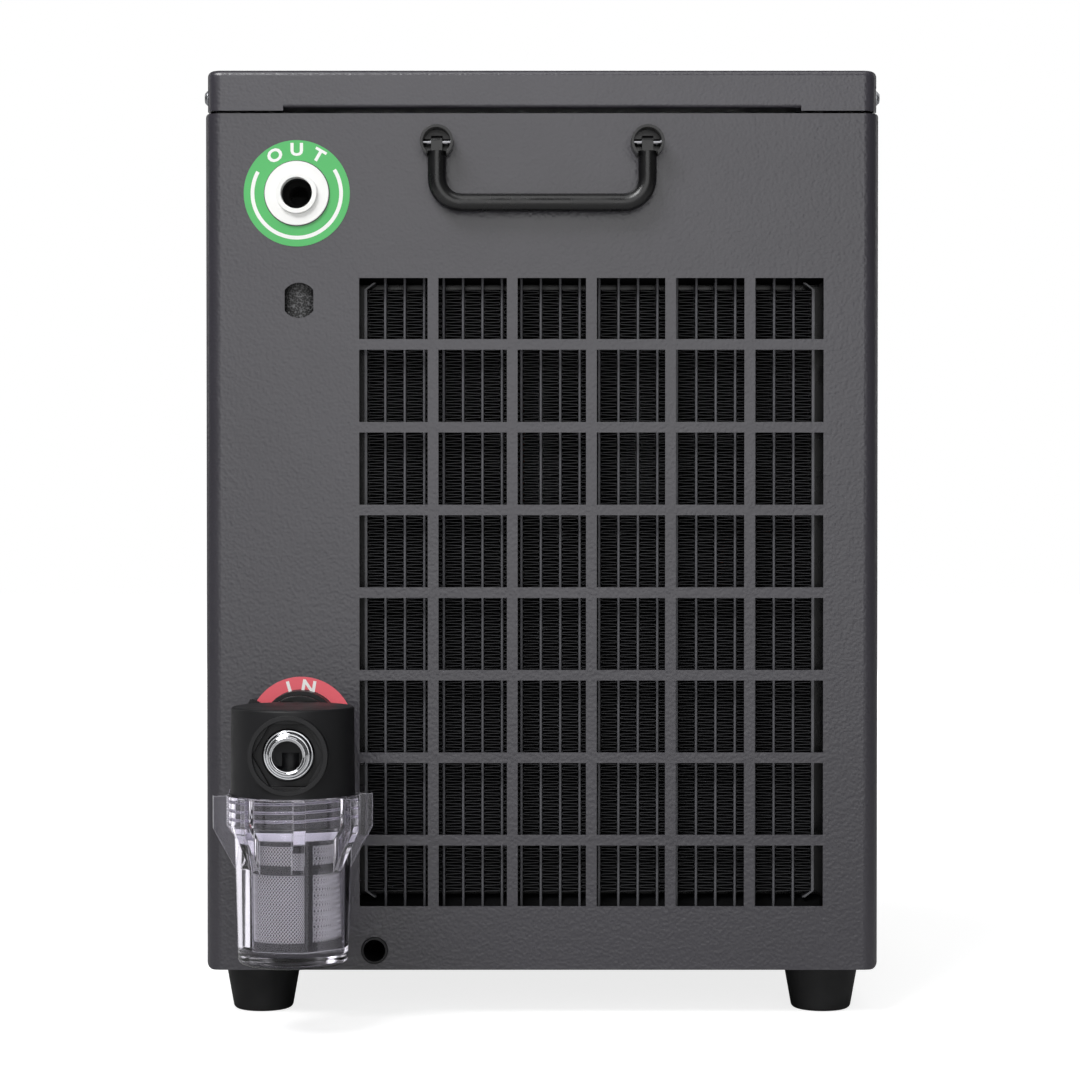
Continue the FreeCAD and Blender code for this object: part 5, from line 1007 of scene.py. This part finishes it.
@dataclass
class WovenStrainer:
    """Stainless wire cloth, laid on the slant round the basket."""

    radius: float = 18.15
    low: float = 46.2
    high: float = 96.8
    # Real wires are about 0.1 mm thick, too fine to show, so fewer and thicker ones are drawn.
    wires: int = 84
    wire: float = 0.42
    crimp: float = 0.9
    crossings: int = 40
    turns: float = 0.32
    lining_outer: float = 17.75
    lining_inner: float = 17.6
    lining_sides: int = 96

    def build(self) -> None:
        """Weave the wires both ways and line them."""
        shape = Shape()
        for way in (1, -1):
            for i in range(self.wires):
                self.strand(shape, math.tau * i / self.wires, way)
        piece = shape.piece("strainer_wire", STEEL_MESH, "filter_cartridge", "mesh_steel", smooth=True)
        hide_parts("strainer_mesh")
        self.lining()

    def strand(self, shape: Shape, start: float, way: int) -> None:
        """Add one slanting wire that goes over and under the others.

        Args:
            shape: Where it is added.
            start: The angle of its lower end.
            way: 1 to lean right, -1 to lean left.
        """
        half = self.wire / 2
        rings = []
        for step in range(self.crossings + 1):
            share = step / self.crossings
            angle = start + way * math.tau * self.turns * share
            weave = half * self.crimp * way * (1 if step % 2 else -1)
            centre = filter_point(self.radius + weave, angle, self.low + (self.high - self.low) * share)
            out = Vector((math.cos(angle), math.sin(angle), 0)) * half
            side = Vector((-math.sin(angle), math.cos(angle), 0)) * half
            rings.append([centre + out, centre + side, centre - out, centre - side])
        shape.loft(rings)

    def lining(self) -> None:
        """Add the tighter inner cloth, which reads as one dim sheet behind the wires."""
        rings = []
        for radius, z in (
            (self.lining_inner, self.low),
            (self.lining_outer, self.low),
            (self.lining_outer, self.high),
            (self.lining_inner, self.high),
            (self.lining_inner, self.low),
        ):
            angles = (math.tau * step / self.lining_sides for step in range(self.lining_sides))
            rings.append([filter_point(radius, angle, z) for angle in angles])
        shape = Shape()
        shape.loft(rings, caps=False)
        shape.piece("strainer_lining", STEEL_CLOTH, "filter_cartridge", "mesh_steel")


@dataclass(frozen=True)
class Thread:
    """A low helical ridge, as moulded in the bowl's mouth and on the head's skirt."""

    STEPS_PER_TURN: ClassVar[int] = 72
    FADE_SHARE: ClassVar[float] = 1 / 12
    CREST_SHARE: ClassVar[float] = 0.2

    name: str
    finish: Finish
    body: str
    slot: str
    root: float
    crest: float
    start: float
    pitch: float = 4.2
    turns: float = 3.0
    half_height: float = 0.75

    def build(self) -> None:
        """Wind the ridge upwards round the filter's axis, faded out at both ends."""
        steps = int(self.turns * self.STEPS_PER_TURN)
        flank, flat = self.half_height, self.half_height * self.CREST_SHARE
        rings = []
        for step in range(steps + 1):
            share = step / steps
            angle = math.tau * self.turns * share
            fade = min(1.0, share / self.FADE_SHARE, (1 - share) / self.FADE_SHARE)
            crest = self.root + (self.crest - self.root) * fade
            z = self.start + self.pitch * self.turns * share
            corners = ((self.root, -flank), (crest, -flat), (crest, flat), (self.root, flank))
            rings.append([filter_point(radius, angle, z + up) for radius, up in corners])
        shape = Shape()
        shape.loft(rings)
        shape.piece(self.name, self.finish, self.body, self.slot)


@dataclass
class InletFilter(SubAssembly):
    """The filter head with its bright connector, the clear bowl and the strainer in it."""

    finishes: ClassVar[dict[str, Finish]] = {
        "filter_head": ABS,
        "filter_connector": CHROME,
        "filter_bowl": ACRYLIC,
        "filter_seal": SILICONE,
        "strainer_frame": ABS,
        "strainer_mesh": STEEL_MESH,
    }

    bowl_thread: Thread = Thread(
        "bowl_thread", ACRYLIC, "bowl", "clear_plastic", root=26.45, crest=26.14, start=104.6
    )
    skirt_thread: Thread = Thread(
        "skirt_thread",
        GLOSS_ABS,
        "cabinet",
        "black_plastic",
        root=25.9,
        crest=26.22,
        start=105.4,
        turns=2.8,
    )

    def add_pieces(self) -> None:
        """Add the wire cloth and both threads."""
        WovenStrainer().build()
        self.bowl_thread.build()
        self.skirt_thread.build()


# Controls on the back


class Bar(Enum):
    """Bars of a digit: place in halves of its width and quarters of its height, and if it stands.

    The right side of a digit is at the lower x, as it is read from behind.
    """

    TOP = (0, 2, False)
    MIDDLE = (0, 0, False)
    BOTTOM = (0, -2, False)
    RIGHT_HIGH = (-1, 1, True)
    RIGHT_LOW = (-1, -1, True)
    LEFT_HIGH = (1, 1, True)
    LEFT_LOW = (1, -1, True)


ONE = (Bar.RIGHT_HIGH, Bar.RIGHT_LOW)
ZERO = (Bar.TOP, Bar.RIGHT_HIGH, Bar.RIGHT_LOW, Bar.BOTTOM, Bar.LEFT_LOW, Bar.LEFT_HIGH)
FIVE = (Bar.TOP, Bar.LEFT_HIGH, Bar.MIDDLE, Bar.RIGHT_LOW, Bar.BOTTOM)


@dataclass
class Controls(SubAssembly):
    """Display, keys and power inlet, with the keys' printed signs and the lit digits."""

    finishes: ClassVar[dict[str, Finish]] = {
        "control_bezel": ABS,
        "control_display": SMOKED,
        "power_button": RUBBER,
        "down_button": RUBBER,
        "up_button": RUBBER,
        "control_box": ABS,
        "power_inlet": ABS,
        "power_pins": PIN_BRASS,
        "power_rocker": ABS,
    }

    rear: float = PANEL_Y + CABINET_DEPTH
    height: float = 372.0
    ink: float = 0.04
    glass_proud: float = 3.56
    key_proud: float = 5.14
    display_x: float = 24.0
    digit_pitch: float = 11.0
    digit_high: float = 13.0
    digit_wide: float = 7.0
    line: float = 1.3
    up_key_x: float = -41.0
    down_key_x: float = -27.5
    power_key_x: float = -14.0

    def add_pieces(self) -> None:
        """Add the digits and the signs of the keys."""
        self.digits()
        self.arrow_sign("up_key_sign", "up_key", self.up_key_x, 1)
        self.arrow_sign("down_key_sign", "down_key", self.down_key_x, -1)
        self.power_sign()

    def flat_mark(self, shape: Shape, outline: Sequence[Vector]) -> None:
        """Add a mark as thick as the ink.

        Args:
            shape: Where it is added.
            outline: The corners of its outer face.
        """
        inwards = Vector((0, -self.ink, 0))
        shape.loft([list(outline), [point + inwards for point in outline]])

    def bar(self, shape: Shape, x: float, z: float, y: float, wide: float, high: float) -> None:
        """Add one flat bar that faces backwards.

        Args:
            shape: Where it is added.
            x: Its middle.
            z: Its middle's height.
            y: Its outer face.
            wide: Its width.
            high: Its height.
        """
        corners = ((-1, -1), (1, -1), (1, 1), (-1, 1))
        self.flat_mark(shape, [Vector((x + i * wide / 2, y, z + j * high / 2)) for i, j in corners])

    def digits(self) -> None:
        """Light three digits and a decimal point on the display."""
        shape = Shape()
        face = self.rear + self.glass_proud
        for i, digit in enumerate((ONE, ZERO, FIVE)):
            middle = self.display_x + self.digit_pitch * (1 - i)
            for bar in digit:
                halves, quarters, stands = bar.value
                x = middle + halves * self.digit_wide / 2
                z = self.height + quarters * self.digit_high / 4
                if stands:
                    self.bar(shape, x, z, face, self.line, self.digit_high / 2 - self.line)
                else:
                    self.bar(shape, x, z, face, self.digit_wide - self.line, self.line)
        point_x = self.display_x - self.digit_pitch / 2
        self.bar(shape, point_x, self.height - self.digit_high / 2, face, self.line, self.line)
        shape.piece("display_digits", LIT_DIGIT, "cabinet", "dark_display")

    def arrow_sign(self, name: str, body: str, x: float, way: int) -> None:
        """Print a triangle on a key.

        Args:
            name: The piece's name.
            body: The key that it moves with.
            x: The key's middle.
            way: 1 to point up, -1 to point down.
        """
        face = self.rear + self.key_proud
        outline = [
            Vector((x - 2.2 * way, face, self.height - 1.5 * way)),
            Vector((x + 2.2 * way, face, self.height - 1.5 * way)),
            Vector((x, face, self.height + 2.1 * way)),
        ]
        shape = Shape()
        self.flat_mark(shape, outline)
        shape.piece(name, WHITE_INK, body, "white_plastic")

    def power_sign(self) -> None:
        """Print an open ring with a bar at its top on the power key."""
        shape = Shape()
        face = self.rear + self.key_proud
        near, far, steps, gap_end, sweep = 1.9, 2.4, 32, 125, 290
        inwards = Vector((0, -self.ink, 0))
        centre = Vector((self.power_key_x, face, self.height))
        rings = []
        for step in range(steps + 1):
            angle = math.radians(gap_end + sweep * step / steps)
            out = Vector((math.cos(angle), 0, math.sin(angle)))
            inner, outer = centre + out * near, centre + out * far
            rings.append([inner, outer, outer + inwards, inner + inwards])
        shape.loft(rings)
        self.bar(shape, self.power_key_x, self.height + 1.7, face, 0.5, 2.2)
        shape.piece("power_key_sign", WHITE_INK, "power_key", "white_plastic")


# Studio


@dataclass(frozen=True)
class SoftBox:
    """A soft box that points at the cabinet, in metres and watts."""

    AIM: ClassVar[tuple[float, float, float]] = (0, 0, 0.25)

    name: str
    place: tuple[float, float, float]
    size: tuple[float, float]
    power: float

    def build(self) -> None:
        """Set the lamp up."""
        data = bpy.data.lights.new(self.name, "AREA")
        data.shape = "RECTANGLE"
        data.size, data.size_y = self.size
        data.energy = self.power
        lamp = bpy.data.objects.new(self.name, data)
        lamp.location = self.place
        aim = Vector(self.AIM) - Vector(self.place)
        lamp.rotation_euler = aim.to_track_quat("-Z", "Y").to_euler()
        bpy.context.scene.collection.objects.link(lamp)


@dataclass
class Studio:
    """A white floor, soft boxes and the camera of the photograph."""

    # The front is lit low from behind the camera, and all of it from boxes higher up.
    LAMPS: ClassVar[tuple[SoftBox, ...]] = (
        SoftBox("front box", (0.0, -2.35, 0.72), (1.6, 1.5), 12.2),
        SoftBox("key box", (-1.0, -1.7, 2.0), (1.2, 0.8), 43),
        SoftBox("top box", (0.0, -0.9, 2.4), (2.0, 1.2), 12),
        SoftBox("left box", (-2.2, 1.0, 1.0), (0.6, 1.6), 3.5),
        SoftBox("right box", (2.2, 1.0, 1.0), (0.6, 1.6), 3.5),
        SoftBox("back box", (0.4, 2.5, 0.95), (2.0, 1.6), 24),
    )
    WHITE: ClassVar[Colour] = (1, 1, 1, 1)
    FLOOR_GREY: ClassVar[Colour] = (0.55, 0.55, 0.55, 1)

    distance: float = 1437.0
    eye: float = 263.5
    shift_x: float = -1.1
    focal_mm: float = 95.0
    pitch: float = 0.885
    floor_size: float = 12.0
    floor_drop: float = 0.0002
    shadow_near: float = 0.3
    shadow_far: float = 1.1
    floor_glow: float = 0.8
    fill: float = 0.1

    def build(self) -> None:
        """Set up the camera, the lamps, the floor and the world."""
        self.camera()
        for lamp in self.LAMPS:
            lamp.build()
        self.floor()
        self.world()
        bpy.context.scene.view_settings.view_transform = "Standard"
        log.info("studio: %d lamps", len(self.LAMPS))

    def camera(self) -> None:
        """Place the camera where the photograph was taken."""
        data = bpy.data.cameras.new("camera")
        data.lens = self.focal_mm
        data.sensor_width = 36.0
        data.clip_start = 0.01
        camera = bpy.data.objects.new("camera", data)
        camera.location = (self.shift_x * MM, (PANEL_Y - self.distance) * MM, self.eye * MM)
        camera.rotation_euler = (math.radians(90 - self.pitch), 0, 0)
        bpy.context.scene.collection.objects.link(camera)
        bpy.context.scene.camera = camera

    def seen(self, tree: Tree) -> Socket:
        """Give 1 for what the eye sees, straight or through the clear bowl, and else 0."""
        path = add_node(tree, Node.LIGHT_PATH).outputs
        rays = {0: path["Is Camera Ray"], 1: path["Is Transmission Ray"]}
        return add_node(tree, Node.MATHS, rays, operation="MAXIMUM").outputs[0]

    def floor(self) -> None:
        """Lay a floor that is white to the eye and keeps the object's shadow."""
        bpy.ops.mesh.primitive_plane_add(size=self.floor_size, location=(0, 0, -self.floor_drop))
        floor = bpy.context.object
        floor.name = "floor"
        material = bpy.data.materials.new("white studio floor")
        material.use_nodes = True
        tree = material.node_tree
        tree.nodes.clear()
        seen = self.seen(tree)
        matt = add_node(tree, Node.DIFFUSE, {"Color": self.FLOOR_GREY}).outputs[0]
        place = add_node(tree, Node.COORDINATES).outputs["Object"]
        reach = add_node(tree, Node.VECTOR_MATHS, {0: place}, operation="LENGTH")
        fading = span(reach.outputs["Value"], self.shadow_near, self.shadow_far, self.floor_glow, 1.0)
        strength = add_node(tree, Node.RANGE, fading)
        glow = {"Color": self.WHITE, "Strength": strength.outputs["Result"]}
        lit = add_node(tree, Node.EMISSION, glow).outputs[0]
        both = add_node(tree, Node.ADD_SHADER, {0: matt, 1: lit}).outputs[0]
        mixed = add_node(tree, Node.MIX_SHADER, {0: seen, 1: matt, 2: both}).outputs[0]
        add_node(tree, Node.MATERIAL_OUTPUT, {"Surface": mixed})
        floor.data.materials.append(material)

    def world(self) -> None:
        """Surround the object with white for the eye and a dimmer fill for its light."""
        world = bpy.data.worlds.new("studio")
        bpy.context.scene.world = world
        world.use_nodes = True
        tree = world.node_tree
        tree.nodes.clear()
        seen = self.seen(tree)
        fill, white = (
            add_node(tree, Node.BACKGROUND, {"Color": self.WHITE, "Strength": strength}).outputs[0]
            for strength in (self.fill, 1.0)
        )
        mixed = add_node(tree, Node.MIX_SHADER, {0: seen, 1: fill, 2: white}).outputs[0]
        add_node(tree, Node.WORLD_OUTPUT, {"Surface": mixed})


def main() -> None:
    """Set up the studio, then dress and complete each sub-assembly in order."""
    logging.basicConfig(level=logging.INFO, format="%(message)s")
    Studio().build()
    for assembly in (
        Cabinet(),
        Handles(),
        Condenser(),
        Machinery(),
        WaterPorts(),
        InletFilter(),
        Controls(),
    ):
        assembly.build()


if __name__ == "__main__":
    main()
